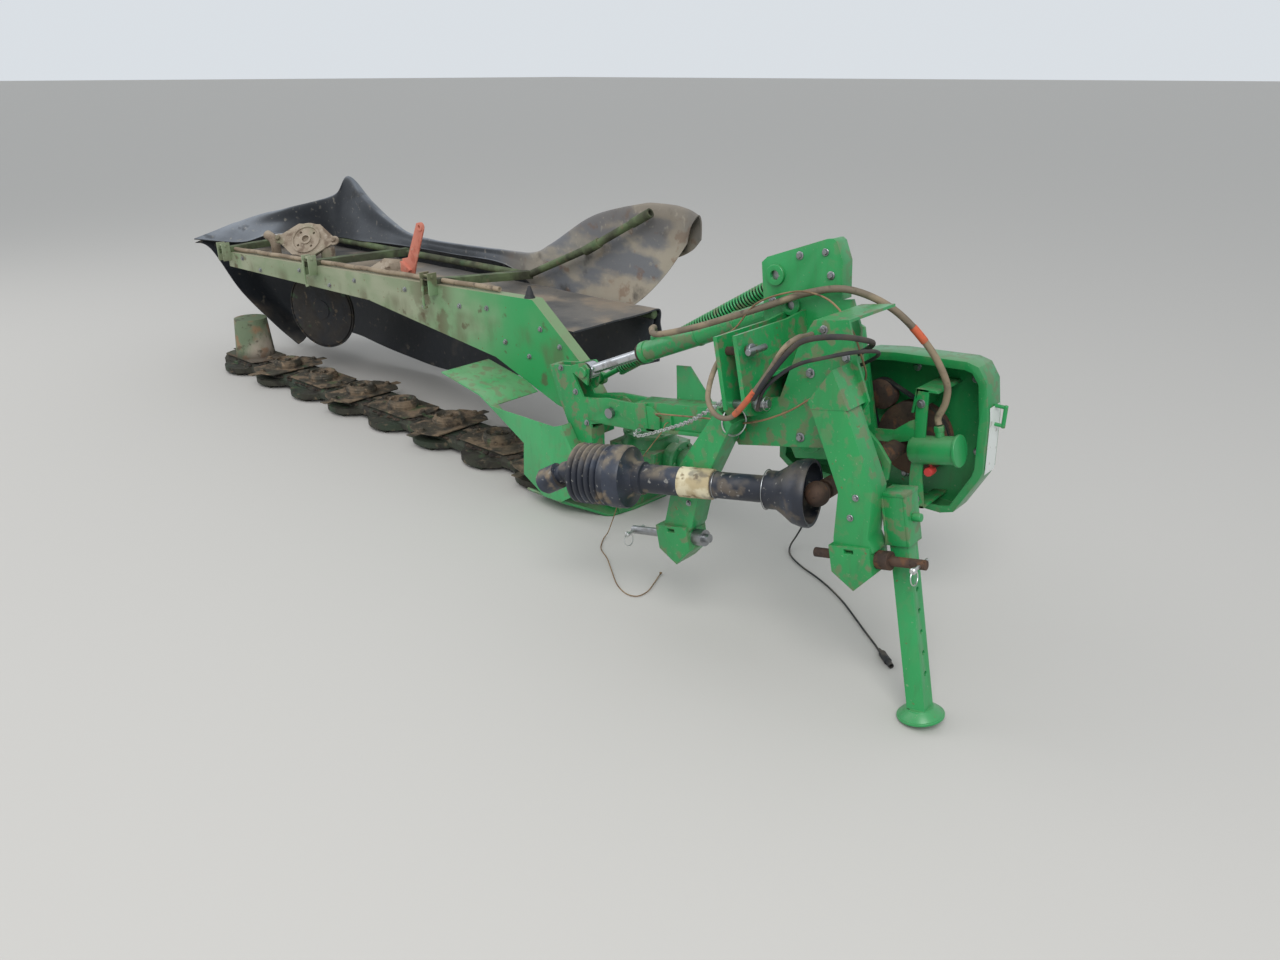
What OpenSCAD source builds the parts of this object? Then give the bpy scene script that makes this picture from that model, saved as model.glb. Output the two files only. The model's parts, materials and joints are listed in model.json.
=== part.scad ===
// Rear mounted disc mower, cutterbar down on the ground, headstock on its parking stand.
// Working frame: x to the machine's left, y to the rear, z up, in millimetres, with the innermost
// disc at x = 0, y = 0. The whole model is shifted at the end so that its box is centred on z.

/* [Cutterbar] */
// Discs on the cutterbar
disc_n = 8; // [7:1:9]
// Spacing of the discs
disc_pitch = 390; // [380:1:420]
// Height of the disc plates' undersides
disc_z = 88; // [84:1:96]
// Long diameter of a disc
disc_long = 400; // [360:1:410]
// Short diameter of a disc
disc_wide = 236; // [200:1:244]
// Reach of a knife tip from its disc's axis
knife_reach = 252; // [230:1:254]
// Width of a knife
knife_w = 44; // [36:1:50]
// Thickness of a disc plate
disc_t = 5; // [4:0.5:7]
// Height of the cone on the outermost disc
cone_h = 235; // [180:1:260]
// Underside of the cutterbar's case
case_z = 26; // [20:1:34]
// Thickness of the cutterbar's case
case_t = 52; // [44:1:56]
// Front edge of the case, ahead of the disc line
case_front = 118; // [100:1:130]
// Rear edge of the case, behind the disc line
case_rear = 150; // [120:1:170]

/* [Headstock] */
// Roll of the parked headstock
roll = 12.5; // [8:0.5:16]
// Place of the lower hitch pins' middle, across
hitch_x = 1575; // [1550:5:1620]
// Place of the lower hitch pins, ahead
hitch_y = -630; // [-650:5:-610]
// Height of the lower hitch pins' middle
hitch_z = 420; // [400:5:440]
// Half spacing of the hitch blocks' outer faces
block_out = 392; // [385:1:400]
// Width of a hitch block
block_w = 128; // [110:1:140]
// Diameter of a lower hitch pin
pin_d = 28.4; // [28:0.1:36.6]
// Height of the top link pin above the lower pins
mast_h = 605; // [560:5:685]
// Diameter of the top link pin
top_pin_d = 25.4; // [25:0.1:31.75]
// Gap of the top link clevis
top_gap = 56; // [52:1:70]
// Side of the parking stand's square tube
stand_w = 56; // [50:1:60]
// Diameter of the stand's foot
foot_d = 138; // [120:1:160]

/* [Arm] */
// Fold hinge, across
fold_x = 585; // [575:5:600]
// Fold hinge, height
fold_z = 520; // [510:5:530]
// Depth of the arm
arm_h = 104; // [90:1:120]
// Width of the arm
arm_w = 84; // [70:1:90]
// Diameter of the fold and arm pins
hinge_d = 40; // [36:1:44]

/* [Lift cylinder] */
// Outer diameter of the barrel
barrel_d = 76; // [70:1:80]
// Diameter of the rod
rod_d = 40; // [32:1:45]
// Barrel plane, behind the front
cyl_y = -190; // [-200:5:-180]

/* [Guard frame] */
// Thickness of the beam's plates
beam_t = 6; // [5:1:10]
// Width of the beam's flanges
beam_w = 62; // [50:1:80]
// Length of the flipped guard's arms
guard_reach = 690; // [600:10:720]
// Diameter of the guard's round tube
guard_tube_d = 38; // [32:1:42]

/* [Clearances] */
// Play on a pin's radius
pin_play = 0.1; // [0.05:0.01:0.3]
// Gap between plain pieces of different bodies
gap = 0.3; // [0.2:0.1:0.5]

/* [Hidden] */
$fn = 48;

case_top = case_z + case_t;
bar_end = 330;
far_x = -(disc_n - 1) * disc_pitch;
shield_front = -280;
upright_y = [-228, -152];
stand_x = block_out + 20 + stand_w / 2;
stand_y = hitch_y + 66;
stand_low = (foot_d / 2 * sin(roll) - hitch_z - stand_x * sin(roll)) / cos(roll);
// The model's reach each way, which centres its box
reach_right = -3200;
reach_left = hitch_x + (stand_x + foot_d / 2) * cos(roll) - stand_low * sin(roll);
reach_front = -876.619;
reach_rear = 920;
centre = [-(reach_right + reach_left) / 2, -(reach_front + reach_rear) / 2, 0];

pivot = [0, 250];
cyl_top = [-7, 683];
spring_top = [-50, 780];
spring_y = -94;
spring_d = 58;
eye = [426, 651];
spring_low = [400, 590];
plate_y = [-300, -60];
plate_t = 14;
tube_r = guard_tube_d / 2;
drive_front = -560;

// A point of the headstock's own x, z plane in the working frame
function head_pt(p) = [hitch_x + p[0] * cos(roll) - p[1] * sin(roll),
    hitch_z + p[0] * sin(roll) + p[1] * cos(roll)];
module head_place() translate([hitch_x, 0, hitch_z]) rotate([0, -roll, 0]) children();
module place() translate(centre) children();

// A flat shape drawn in x, z, standing between two y planes
module slab(y0, y1) translate([0, y1, 0]) rotate([90, 0, 0]) linear_extrude(y1 - y0) children();
// A round bar along y
module bar_y(x, z, d, y0, y1) translate([x, y1, z]) rotate([90, 0, 0]) cylinder(d = d, h = y1 - y0);
// A round bar along x
module bar_x(x0, x1, y, z, d) translate([x0, y, z]) rotate([0, 90, 0]) cylinder(d = d, h = x1 - x0);
// A straight round bar between two points
module rod(a, b, d) {
    v = b - a;
    translate(a) rotate([0, acos(v[2] / norm(v)), atan2(v[1], v[0])]) cylinder(d = d, h = norm(v));
}

module cutterbar_case() color("#23301f") place()
    translate([far_x - 190, 0, 0]) rotate([90, 0, 90]) linear_extrude(bar_end - far_x + 190)
        polygon([[-case_front, case_z], [case_rear - 20, case_z], [case_rear, case_z + 16],
            [case_rear, case_top - 12], [case_rear - 26, case_top], [16 - case_front, case_top],
            [-case_front, case_top - 22]]);

module rock_guards() color("#2c3d24") place() {
    for (i = [0 : disc_n - 1]) translate([-i * disc_pitch, 0, 0]) {
        difference() {
            union() {
                translate([0, -40, case_z - 8]) cylinder(r = 158, h = 30);
                translate([-62, -170, 0]) cube([124, 300, case_z - 8]);
            }
            translate([-200, -case_front, case_z]) cube([400, 400, 60]);
            translate([-200, 0, case_z - 8]) cube([400, 200, 8 + 60]);
        }
    }
}

// One disc on the bar, its knives turned to the given angle
module disc(n, turn) color("#5a4636") place() {
    translate([-(disc_n - n) * disc_pitch, 0, 0]) {
        translate([0, 0, case_top + gap]) cylinder(r = 52, h = disc_z - case_top);
        rotate([0, 0, turn]) {
            translate([0, 0, disc_z]) linear_extrude(disc_t) intersection() {
                circle(d = disc_long);
                square([disc_long, disc_wide], center = true);
            }
            for (s = [-1, 1]) translate([s > 0 ? disc_long / 2 - 50 : -knife_reach, -knife_w / 2, disc_z - 4])
                cube([knife_reach - disc_long / 2 + 50, knife_w, 4]);
        }
        if (n == 1) translate([0, 0, disc_z + disc_t])
            cylinder(r1 = 117, r2 = 97, h = cone_h);
        else translate([0, 0, disc_z + disc_t]) cylinder(r = 82, h = 26);
    }
}

module inner_shoe() color("#2f9e44") place() intersection() {
    slab(shield_front, 210) polygon([[bar_end, 26], [420, 0], [600, 0], [700, 30], [735, 96], [735, 150], [bar_end, 150]]);
    translate([bar_end, 0, 0]) rotate([90, 0, 90]) linear_extrude(500)
        polygon([[shield_front, 62], [-216, 0], [190, 0], [210, 40], [210, 150], [shield_front, 150]]);
}

module gear_housing() color("#2f7d3b") place() {
    translate([400, -50, 150]) cube([270, 240, 210]);
    translate([550, 70, 360]) cylinder(d = 170, h = 40);
    bar_x(670, 760, 60, 270, 110);
}

module bar_upright() color("#35b04f") place() {
    for (y = [upright_y[0] - 12, upright_y[1]]) bar_y(eye[0], eye[1], 44, y, y + 12);
    side = [[240, 650], [330, 655], [445, 600], [470, 560], [470, 150], [350, 150], [350, 380]];
    difference() {
        union() {
            for (y = [upright_y[0], upright_y[1] - 10]) slab(y, y + 10) polygon(side);
            for (y = [upright_y[0], upright_y[1] - 10]) slab(y, y + 10)
                polygon([[440, 600], [fold_x, fold_z + 45], [fold_x, fold_z - 45], [440, 440]]);
            for (y = [upright_y[0], upright_y[1] - 10]) bar_y(fold_x, fold_z, 90, y, y + 10);
            for (y = [upright_y[0], upright_y[1] - 10]) slab(y, y + 10) polygon([[330, 655], [445, 600], [450, 670], [410, 685]]);
            slab(upright_y[0], upright_y[1]) polygon([[240, 650], [350, 380], [350, 150], [360, 150], [360, 382], [250, 650]]);
            slab(upright_y[1], 0) polygon([[298, 330], [298, 440], [372, 440], [372, 330]]);
            bar_y(spring_low[0], spring_low[1], 60, upright_y[1], upright_y[1] + 12);
            slab(0, 8) polygon([[298, 330], [298, 440], [372, 440], [372, 330]]);
        }
        bar_y(fold_x, fold_z, hinge_d + 2 * pin_play, -260, -120);
    }
}

module inner_shield() color("#4cc15f") place() {
    slab(shield_front - 4, shield_front) polygon([[-50, 424], [330, 440], [420, 300], [420, 130], [330, 70],
        [60, 60], [0, 240]]);
}

// The beam's outline in x, z: box section at the outer end, deep gusset at the inner end
beam_top = [[-2880, 719], [-107, 825], [182, 596], [298, 448]];
beam_low = [[298, 330], [35, 366], [-376, 514], [-1384, 637], [-2883, 631]];
module frame_beam() color("#5aa653") place() {
    slab(0, beam_t) polygon(concat(beam_top, beam_low));
    slab(beam_t, beam_w) polygon(concat(beam_top, [for (i = [3 : -1 : 0]) beam_top[i] - [i == 0 ? 0 : 4, 8]]));
    slab(beam_t, beam_w) polygon(concat(beam_low, [for (i = [4 : -1 : 0]) beam_low[i] + [0, 8]]));
}

module rear_frame() color("#566b3c") place() {
    for (x = [-2840, -1840, -760]) translate([x, beam_t, 650]) cube([44, beam_w + 560 - beam_t, 40]);
    bar_x(-3000, 60, beam_w + 580, 670, 44);
}

module rear_curtain() color("#2b2d31") place() {
    translate([-3060, beam_w + 602.3, 110]) cube([3100, 12, 570]);
}

module swath_hub() color("#b09a84") place() {
    translate([-2480, 195, 684]) rotate([20, 0, 0]) {
        cylinder(d = 230, h = 60);
        translate([0, 0, 60]) cylinder(d = 150, h = 8);
    }
}

module swath_disc() color("#20242a") place() {
    translate([-2260, 230, 400]) rotate([0, 0, 18]) rotate([90, 0, 0]) cylinder(d = 590, h = 8);
}

module guard_frame() color("#4f6b35") place() {
    for (x = [-2900, -1915, -840]) {
        translate([x, -44, 827 - 0.038 * (-107 - x)]) cube([50, guard_reach, 30]);
    }
}

module guard_curtain() color("#33363b") place() {
    translate([-3200, 120, 856.3]) cube([3100, 800, 12]);
}

module swing_arm() color("#35b04f") place() {
    p = head_pt(pivot);
    a = atan2(p[1] - fold_z, p[0] - fold_x);
    len = norm([p[0] - fold_x, p[1] - fold_z]);
    out = upright_y[1] - upright_y[0] + 12;
    difference() {
        union() {
            translate([fold_x, cyl_y, fold_z]) rotate([0, -a, 0]) {
                translate([140, -arm_w / 2, -arm_h / 2]) cube([len - 170, arm_w, arm_h]);
                for (s = [-1, 1]) translate([0, s * (out / 2 + 6) - 6, -36]) cube([170, 12, 72]);
                for (s = [-1, 1]) translate([0, s * (out / 2 + 6) + 6, 0]) rotate([90, 0, 0]) cylinder(d = 90, h = 12);
                translate([140, -out / 2 - 12, -arm_h / 2]) cube([30, out + 24, arm_h]);
            }
            bar_y(p[0], p[1], 120, plate_y[0] + plate_t + gap, plate_y[1] - gap);
        }
        bar_y(fold_x, fold_z, hinge_d + 2 * pin_play, cyl_y - 80, cyl_y + 80);
        bar_y(p[0], p[1], hinge_d + 10 + 2 * pin_play, -400, 0);
    }
}

module fold_pin() color("#9aa0a4") place() {
    bar_y(fold_x, fold_z, hinge_d, cyl_y - 66, cyl_y + 66);
}

module lift_barrel() color("#35b04f") place() {
    t = head_pt(cyl_top);
    v = [eye[0] - t[0], eye[1] - t[1]] / norm([eye[0] - t[0], eye[1] - t[1]]);
    difference() {
        union() {
            rod([t[0] + 40 * v[0], cyl_y, t[1] + 40 * v[1]], [t[0] + 770 * v[0], cyl_y, t[1] + 770 * v[1]], barrel_d);
            bar_y(t[0], t[1], 80, cyl_y - 32, cyl_y + 32);
        }
        bar_y(t[0], t[1], 30 + 2 * pin_play, -400, 0);
        rod([t[0] + 240 * v[0], cyl_y, t[1] + 240 * v[1]], [t[0] + 800 * v[0], cyl_y, t[1] + 800 * v[1]],
            rod_d + 2 * pin_play);
    }
}

module lift_rod() color("#c8ccd0") place() {
    t = head_pt(cyl_top);
    v = [eye[0] - t[0], eye[1] - t[1]] / norm([eye[0] - t[0], eye[1] - t[1]]);
    difference() {
        union() {
            rod([t[0] + 560 * v[0], cyl_y, t[1] + 560 * v[1]], [eye[0] - 30 * v[0], cyl_y, eye[1] - 30 * v[1]], rod_d);
            bar_y(eye[0], eye[1], 70, cyl_y - 22, cyl_y + 22);
            bar_y(eye[0], eye[1], 25, upright_y[0] + 10 + gap, upright_y[1] - 10 - gap);
        }
    }
}

module lift_pin() color("#9aa0a4") place() head_place() {
    bar_y(cyl_top[0], cyl_top[1], 30, plate_y[0], plate_y[1] + plate_t + 3);
    bar_y(spring_top[0], spring_top[1], 30, plate_y[0], plate_y[1] + plate_t + 3);
}

module float_spring() color("#3cab50") place() {
    t = head_pt(spring_top);
    v = [spring_low[0] - t[0], spring_low[1] - t[1]] / norm([spring_low[0] - t[0], spring_low[1] - t[1]]);
    rod([t[0] + 130 * v[0], spring_y, t[1] + 130 * v[1]], [t[0] + 1000 * v[0], spring_y, t[1] + 1000 * v[1]], spring_d);
}

module spring_rod() color("#3cab50") place() {
    t = head_pt(spring_top);
    v = [spring_low[0] - t[0], spring_low[1] - t[1]] / norm([spring_low[0] - t[0], spring_low[1] - t[1]]);
    rod([t[0] + 1000.3 * v[0], spring_y, t[1] + 1000.3 * v[1]],
        [spring_low[0] - 20 * v[0], spring_y, spring_low[1] - 20 * v[1]], 22);
    bar_y(spring_low[0], spring_low[1], 50, spring_y - 10, spring_y + 10);
    bar_y(spring_low[0], spring_low[1], 26, upright_y[1] + 12 + gap, spring_y + 14);
}

module spring_eye() color("#3cab50") place() {
    t = head_pt(spring_top);
    v = [spring_low[0] - t[0], spring_low[1] - t[1]] / norm([spring_low[0] - t[0], spring_low[1] - t[1]]);
    rod([t[0] + 20 * v[0], spring_y, t[1] + 20 * v[1]], [t[0] + 129.7 * v[0], spring_y, t[1] + 129.7 * v[1]], 22);
    difference() {
        bar_y(t[0], t[1], 56, spring_y - 10, spring_y + 10);
        bar_y(t[0], t[1], 30 + 2 * pin_play, -400, 0);
    }
}

module a_frame() color("#35b04f") place() head_place() {
    front = hitch_y - 30;
    slab(front, front + 110) polygon([[block_out - block_w, 16], [275, 190], [150, 620], [258, 620], [block_out, 200],
        [block_out, 16]]);
    slab(front, front + 110) polygon([[-block_out, 16], [-block_out, 185], [-60, 500], [80, 500], [block_w - block_out, 185],
        [block_w - block_out, 16]]);
    slab(front + 20, plate_y[0]) polygon([[-60, 340], [230, 330], [190, 560], [-60, 500]]);
    for (s = [-1, 1]) difference() {
        translate([s * (block_out - block_w / 2), 0, 0]) slab(hitch_y - 42, hitch_y + 60)
            polygon([[-block_w / 2, 16], [block_w / 2, 16], [block_w / 2, -36], [0, -88], [-block_w / 2, -36]]);
        bar_x(-500, 500, hitch_y, 0, pin_d + 2 * pin_play);
    }
    difference() {
        translate([block_out, stand_y - stand_w / 2 - 10, 32]) cube([stand_w + 30, stand_w + 20, 150]);
        translate([stand_x - stand_w / 2 - gap, stand_y - stand_w / 2 - gap, 0])
            cube([stand_w + 2 * gap, stand_w + 2 * gap, 400]);
    }
    for (s = [-1, 1]) difference() {
        translate([s * (top_gap / 2 + 7) - 7, hitch_y - 36, 400]) cube([14, 246, mast_h - 355]);
        bar_x(-80, 80, hitch_y, mast_h, top_pin_d + 2 * pin_play);
    }
}

module tower() color("#35b04f") place() head_place() {
    difference() {
        for (y = plate_y) slab(y, y + plate_t) polygon([[-90, 180], [90, 180], [200, 330], [170, 848],
            [-90, 820], [-110, 600]]);
        bar_y(cyl_top[0], cyl_top[1], 30 + 2 * pin_play, -400, 0);
        bar_y(spring_top[0], spring_top[1], 30 + 2 * pin_play, -400, 0);
        bar_y(pivot[0], pivot[1], hinge_d + 10 + 2 * pin_play, -400, 0);
    }
    slab(plate_y[0] + plate_t, plate_y[1]) polygon([[110, 330], [200, 330], [190, 600], [160, 600]]);
}

module arm_pin() color("#9aa0a4") place() head_place() {
    bar_y(pivot[0], pivot[1], hinge_d + 10, plate_y[0] + 1, plate_y[1] + plate_t + 3);
}

module top_link_pin() color("#7c6450") place() head_place() {
    bar_x(-top_gap / 2 - 34, top_gap / 2 + 34, hitch_y, mast_h, top_pin_d);
}

module hitch_pin_left() color("#6b4a38") place() head_place() {
    bar_x(190, 536, hitch_y, 0, pin_d);
    bar_x(block_out, block_out + 40, hitch_y, 0, 54);
}

module hitch_pin_right() color("#4b4f58") place() head_place() {
    bar_x(-540, -205, hitch_y, 0, pin_d);
    bar_x(block_w - block_out, block_w - block_out + 40, hitch_y, 0, 54);
    bar_x(-block_out - 5, -block_out, hitch_y, 0, 40);
}

module belt_guard() color("#2f9e44") place() {
    difference() {
        slab(plate_y[1] + plate_t, 58) polygon([[1240, 620], [1500, 900], [1610, 935], [1930, 960], [2000, 930], [2010, 560],
            [1880, 420], [1300, 420]]);
        slab(plate_y[1] + plate_t - 1, 52) polygon([[1250, 622], [1505, 892], [1612, 927], [1926, 952], [1992, 926], [2002, 564],
            [1876, 428], [1306, 428]]);
    }
}

module belt_tensioner() color("#35b04f") place() head_place() {
    bar_x(330, 480, plate_y[1] - 46, 210, 92);
    slab(plate_y[1] - 46, plate_y[1] + plate_t) polygon([[201, 240], [340, 240], [340, 185], [201, 185]]);
}

module input_drive() color("#4a3a30") place() head_place() {
    bar_y(200, 170, 60, drive_front, plate_y[0]);
}

module parking_stand() color("#35b04f") place() head_place() {
    translate([stand_x - stand_w / 2, stand_y - stand_w / 2, stand_low + 20]) cube([stand_w, stand_w, 20 - stand_low]);
    translate([stand_x, stand_y, stand_low]) cylinder(d = foot_d, h = 20);
}

module pto_joint() color("#3a3f46") place() {
    translate([1733, -600, 629]) sphere(d = 76);
    bar_y(1733, 629, 46, hitch_y + 30, drive_front);
}

module pto_inner() color("#1c1f24") place() {
    difference() {
        rod([1700, -608, 625.3], [1250, -719, 575.2], 84);
        translate([1733, -600, 629]) sphere(d = 76 + 2 * gap);
    }
}

module pto_outer() color("#24272c") place() {
    rod([1249, -719.2, 575.1], [800, -830, 525], 96);
}

cutterbar_case();
rock_guards();
disc(1, 0);  // disc_1
disc(2, 90);  // disc_2
disc(3, 0);  // disc_3
disc(4, 90);  // disc_4
disc(5, 0);  // disc_5
disc(6, 90);  // disc_6
disc(7, 0);  // disc_7
disc(8, 90);  // disc_8
inner_shoe();
gear_housing();
bar_upright();
inner_shield();
frame_beam();
rear_frame();
rear_curtain();
swath_hub();
swath_disc();
guard_frame();
guard_curtain();
swing_arm();
fold_pin();
lift_barrel();
lift_rod();
lift_pin();
spring_eye();
float_spring();
spring_rod();
a_frame();
tower();
arm_pin();
top_link_pin();
hitch_pin_left();
hitch_pin_right();
belt_guard();
belt_tensioner();
input_drive();
parking_stand();
pto_joint();
pto_inner();
pto_outer();
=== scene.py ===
"""Looks of a rear mounted disc mower that stands on its cutterbar, inner shoe and parking stand.

Lengths are in mm in the working frame. W, turn, the diameters of tubes, wires and lights are in metres.
"""
import json
import math
import random

import bpy
from mathutils import Matrix, Vector, noise


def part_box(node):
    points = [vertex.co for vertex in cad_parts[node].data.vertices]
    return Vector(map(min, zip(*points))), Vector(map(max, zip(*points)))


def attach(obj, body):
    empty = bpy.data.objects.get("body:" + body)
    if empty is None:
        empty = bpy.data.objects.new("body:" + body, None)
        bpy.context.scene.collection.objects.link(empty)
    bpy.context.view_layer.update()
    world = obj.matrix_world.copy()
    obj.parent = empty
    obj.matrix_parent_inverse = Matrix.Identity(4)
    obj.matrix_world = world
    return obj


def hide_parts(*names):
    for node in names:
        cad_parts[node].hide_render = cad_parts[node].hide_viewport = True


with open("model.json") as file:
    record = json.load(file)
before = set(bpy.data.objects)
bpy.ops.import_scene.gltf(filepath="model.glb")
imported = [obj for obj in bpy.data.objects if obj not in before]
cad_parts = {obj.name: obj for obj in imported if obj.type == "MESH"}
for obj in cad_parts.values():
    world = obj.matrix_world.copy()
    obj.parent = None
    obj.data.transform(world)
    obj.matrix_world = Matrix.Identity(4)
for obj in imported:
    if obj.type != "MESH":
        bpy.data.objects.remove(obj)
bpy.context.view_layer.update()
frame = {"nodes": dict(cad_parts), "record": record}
NODES = frame["nodes"]

# The working frame of the drawings: the innermost disc's axis is x = 0, y = 0, in metres
_lo, _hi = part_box("disc_8")
OX, OY = (_lo[0] + _hi[0]) / 2, (_lo[1] + _hi[1]) / 2


def W(x, y, z):
    return Vector((x + OX, y + OY, z))


def MM(x, y, z):
    return W(x / 1000, y / 1000, z / 1000)


ROLL = math.radians(12.5)
HEAD_X, HEAD_Z = 1598, 425


def H(x, y, z):
    """A point of the headstock's own frame, which leans by ROLL, in mm."""
    return MM(HEAD_X + x * math.cos(ROLL) - z * math.sin(ROLL), y, HEAD_Z + x * math.sin(ROLL) + z * math.cos(ROLL))


FRONT, UP = Vector((0, -1, 0)), Vector((0, 0, 1))
PIN_Y = -630                # the lower hitch pins' line, in the headstock's frame
ARM_PIVOT, CYLINDER_TOP, SPRING_TOP = (-24, 250), (-31, 683), (-74, 780)
SHAFT_START = (176.4, 170)  # the gearbox's input, x and z in the headstock's frame
FOLD_X, FOLD_Z = 585, 520   # the fold hinge
DISCS, DISC_STEP = 8, 390
IMAGE_W, SENSOR = 1280, 36


# ---- camera, fitted to the row of disc hubs, the hitch pins and the stand ----
FOCAL_PX, PITCH, EYE = 950, 23.344, (2.9992, -2.8379, 1.7602)
LOOK = Vector((-0.65678, 0.75409, 0))
cam_data = bpy.data.cameras.new("camera")
cam_data.sensor_width = SENSOR
cam_data.lens = SENSOR * FOCAL_PX / IMAGE_W
cam_data.clip_end = 400
cam = bpy.data.objects.new("camera", cam_data)
bpy.context.scene.collection.objects.link(cam)
pitch = math.radians(PITCH)
forward = LOOK * math.cos(pitch) - UP * math.sin(pitch)
right = LOOK.cross(UP).normalized()
up = right.cross(forward)
cam.matrix_world = Matrix.Translation(W(*EYE)) @ Matrix((right, up, -forward)).transposed().to_4x4()
bpy.context.scene.camera = cam

# ---- floor, sky and lamps ----
scene = bpy.context.scene
scene.view_settings.view_transform = "Standard"
bpy.ops.mesh.primitive_plane_add(size=400, location=(0, 0, -0.001))
floor = bpy.context.object
floor.name = "floor"
fm = bpy.data.materials.new("floor")
fm.use_nodes = True
fb = fm.node_tree.nodes["Principled BSDF"]
fb.inputs["Base Color"].default_value = (0.52, 0.50, 0.47, 1)
fb.inputs["Roughness"].default_value = 0.9
floor.data.materials.append(fm)
world = bpy.data.worlds.new("sky")
scene.world = world
world.use_nodes = True
world.node_tree.nodes["Background"].inputs["Color"].default_value = (0.90, 0.95, 1.0, 1)
world.node_tree.nodes["Background"].inputs["Strength"].default_value = 0.78


def lamp(name, at, to, size, energy):
    d = bpy.data.lights.new(name, "AREA")
    d.energy, d.size = energy, size
    o = bpy.data.objects.new(name, d)
    o.location = W(*at)
    o.rotation_euler = (W(*to) - W(*at)).to_track_quat("-Z", "Y").to_euler()
    scene.collection.objects.link(o)


lamp("key", (4.5, -5.0, 6.5), (0.3, 0, 0.4), 4, 370)
lamp("fill", (-5.0, -3.0, 5.0), (-0.8, 0, 0.4), 6, 130)


# ---- materials ----
def srgb(*c):
    out = [(v / 255 / 12.92) if v / 255 <= 0.04045 else ((v / 255 + 0.055) / 1.055) ** 2.4 for v in c]
    return (*out, 1)


class Mat:
    """A surface built up in layers: a base colour, then colours laid over it by noise, slope, height or place."""

    def __init__(self, name, colour, rough=0.5, metal=0.0, coat=0.0, sheen=0.0):
        self.m = bpy.data.materials.new(name)
        self.m.use_nodes = True
        self.t = self.m.node_tree
        self.b = self.t.nodes["Principled BSDF"]
        self.b.inputs["Metallic"].default_value = metal
        self.b.inputs["Coat Weight"].default_value = coat
        self.b.inputs["Coat Roughness"].default_value = 0.25
        self.b.inputs["Sheen Weight"].default_value = sheen
        self.b.inputs["Base Color"].default_value = srgb(*colour)
        self.b.inputs["Roughness"].default_value = rough
        self.co = self.new("ShaderNodeTexCoord").outputs["Object"]
        self.nz = None
        self.colour, self.rough, self.col_out, self.rough_out = colour, rough, None, None

    def new(self, kind):
        return self.t.nodes.new(kind)

    def link(self, a, b):
        self.t.links.new(a, b)

    def span(self, value, lo, hi, top=1.0):
        """0 to top between two values, or top to 0 where the first is the higher."""
        n = self.new("ShaderNodeMapRange")
        n.interpolation_type = "SMOOTHSTEP"
        n.inputs["From Min"].default_value, n.inputs["From Max"].default_value = min(lo, hi), max(lo, hi)
        n.inputs["To Min"].default_value, n.inputs["To Max"].default_value = (0, top) if lo <= hi else (top, 0)
        self.link(value, n.inputs["Value"])
        return n.outputs["Result"]

    def noise(self, scale, lo, hi, top=1.0, stretch=(1, 1, 1), detail=5):
        m = self.new("ShaderNodeMapping")
        m.inputs["Scale"].default_value = stretch
        self.link(self.co, m.inputs["Vector"])
        n = self.new("ShaderNodeTexNoise")
        n.inputs["Scale"].default_value = scale
        n.inputs["Detail"].default_value = detail
        self.link(m.outputs["Vector"], n.inputs["Vector"])
        return self.span(n.outputs["Fac"], lo, hi, top)

    def slope(self, lo, hi, top=1.0):
        g = self.new("ShaderNodeNewGeometry")
        s = self.new("ShaderNodeSeparateXYZ")
        self.link(g.outputs["Normal"], s.inputs["Vector"])
        return self.span(s.outputs["Z"], lo, hi, top)

    def along(self, axis, lo, hi, top=1.0):
        s = self.new("ShaderNodeSeparateXYZ")
        self.link(self.co, s.inputs["Vector"])
        return self.span(s.outputs["XYZ"[axis]], lo, hi, top)

    def edge(self, lo, hi, top=1.0):
        """High on convex edges and worn corners."""
        g = self.new("ShaderNodeNewGeometry")
        return self.span(g.outputs["Pointiness"], lo, hi, top)

    def by(self, a, b):
        n = self.new("ShaderNodeMath")
        n.operation = "MULTIPLY"
        self.link(a, n.inputs[0])
        self.link(b, n.inputs[1])
        return n.outputs[0]

    def over(self, fac, colour, rough=None):
        """Lays a colour, and a roughness if given, over what is there, by the factor."""
        n = self.new("ShaderNodeMix")
        n.data_type = "RGBA"
        self.link(fac, n.inputs["Factor"])
        if self.col_out is None:
            n.inputs[6].default_value = srgb(*self.colour)
        else:
            self.link(self.col_out, n.inputs[6])
        n.inputs[7].default_value = srgb(*colour)
        self.col_out = n.outputs[2]
        if rough is not None:
            r = self.new("ShaderNodeMix")
            self.link(fac, r.inputs["Factor"])
            if self.rough_out is None:
                r.inputs[2].default_value = self.rough
            else:
                self.link(self.rough_out, r.inputs[2])
            r.inputs[3].default_value = rough
            self.rough_out = r.outputs[0]
        return self

    def spots(self, *layers, within=None):
        """Lays colours over by noise: each layer has the noise's values, the colour and maybe a roughness."""
        for values, *look in layers:
            spread = self.noise(*values)
            self.over(self.by(within, spread) if within else spread, *look)

    def bump(self, height, strength=0.3, distance=0.002):
        n = self.new("ShaderNodeBump")
        n.inputs["Strength"].default_value = strength
        n.inputs["Distance"].default_value = distance
        self.link(height, n.inputs["Height"])
        if self.nz is not None:
            self.link(self.nz, n.inputs["Normal"])
        self.nz = n.outputs["Normal"]
        return self

    def done(self):
        if self.col_out is not None:
            self.link(self.col_out, self.b.inputs["Base Color"])
        if self.rough_out is not None:
            self.link(self.rough_out, self.b.inputs["Roughness"])
        if self.nz is not None:
            self.link(self.nz, self.b.inputs["Normal"])
        return self.m


DIRT = (58, 46, 36)
RUST = (116, 70, 44)


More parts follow.
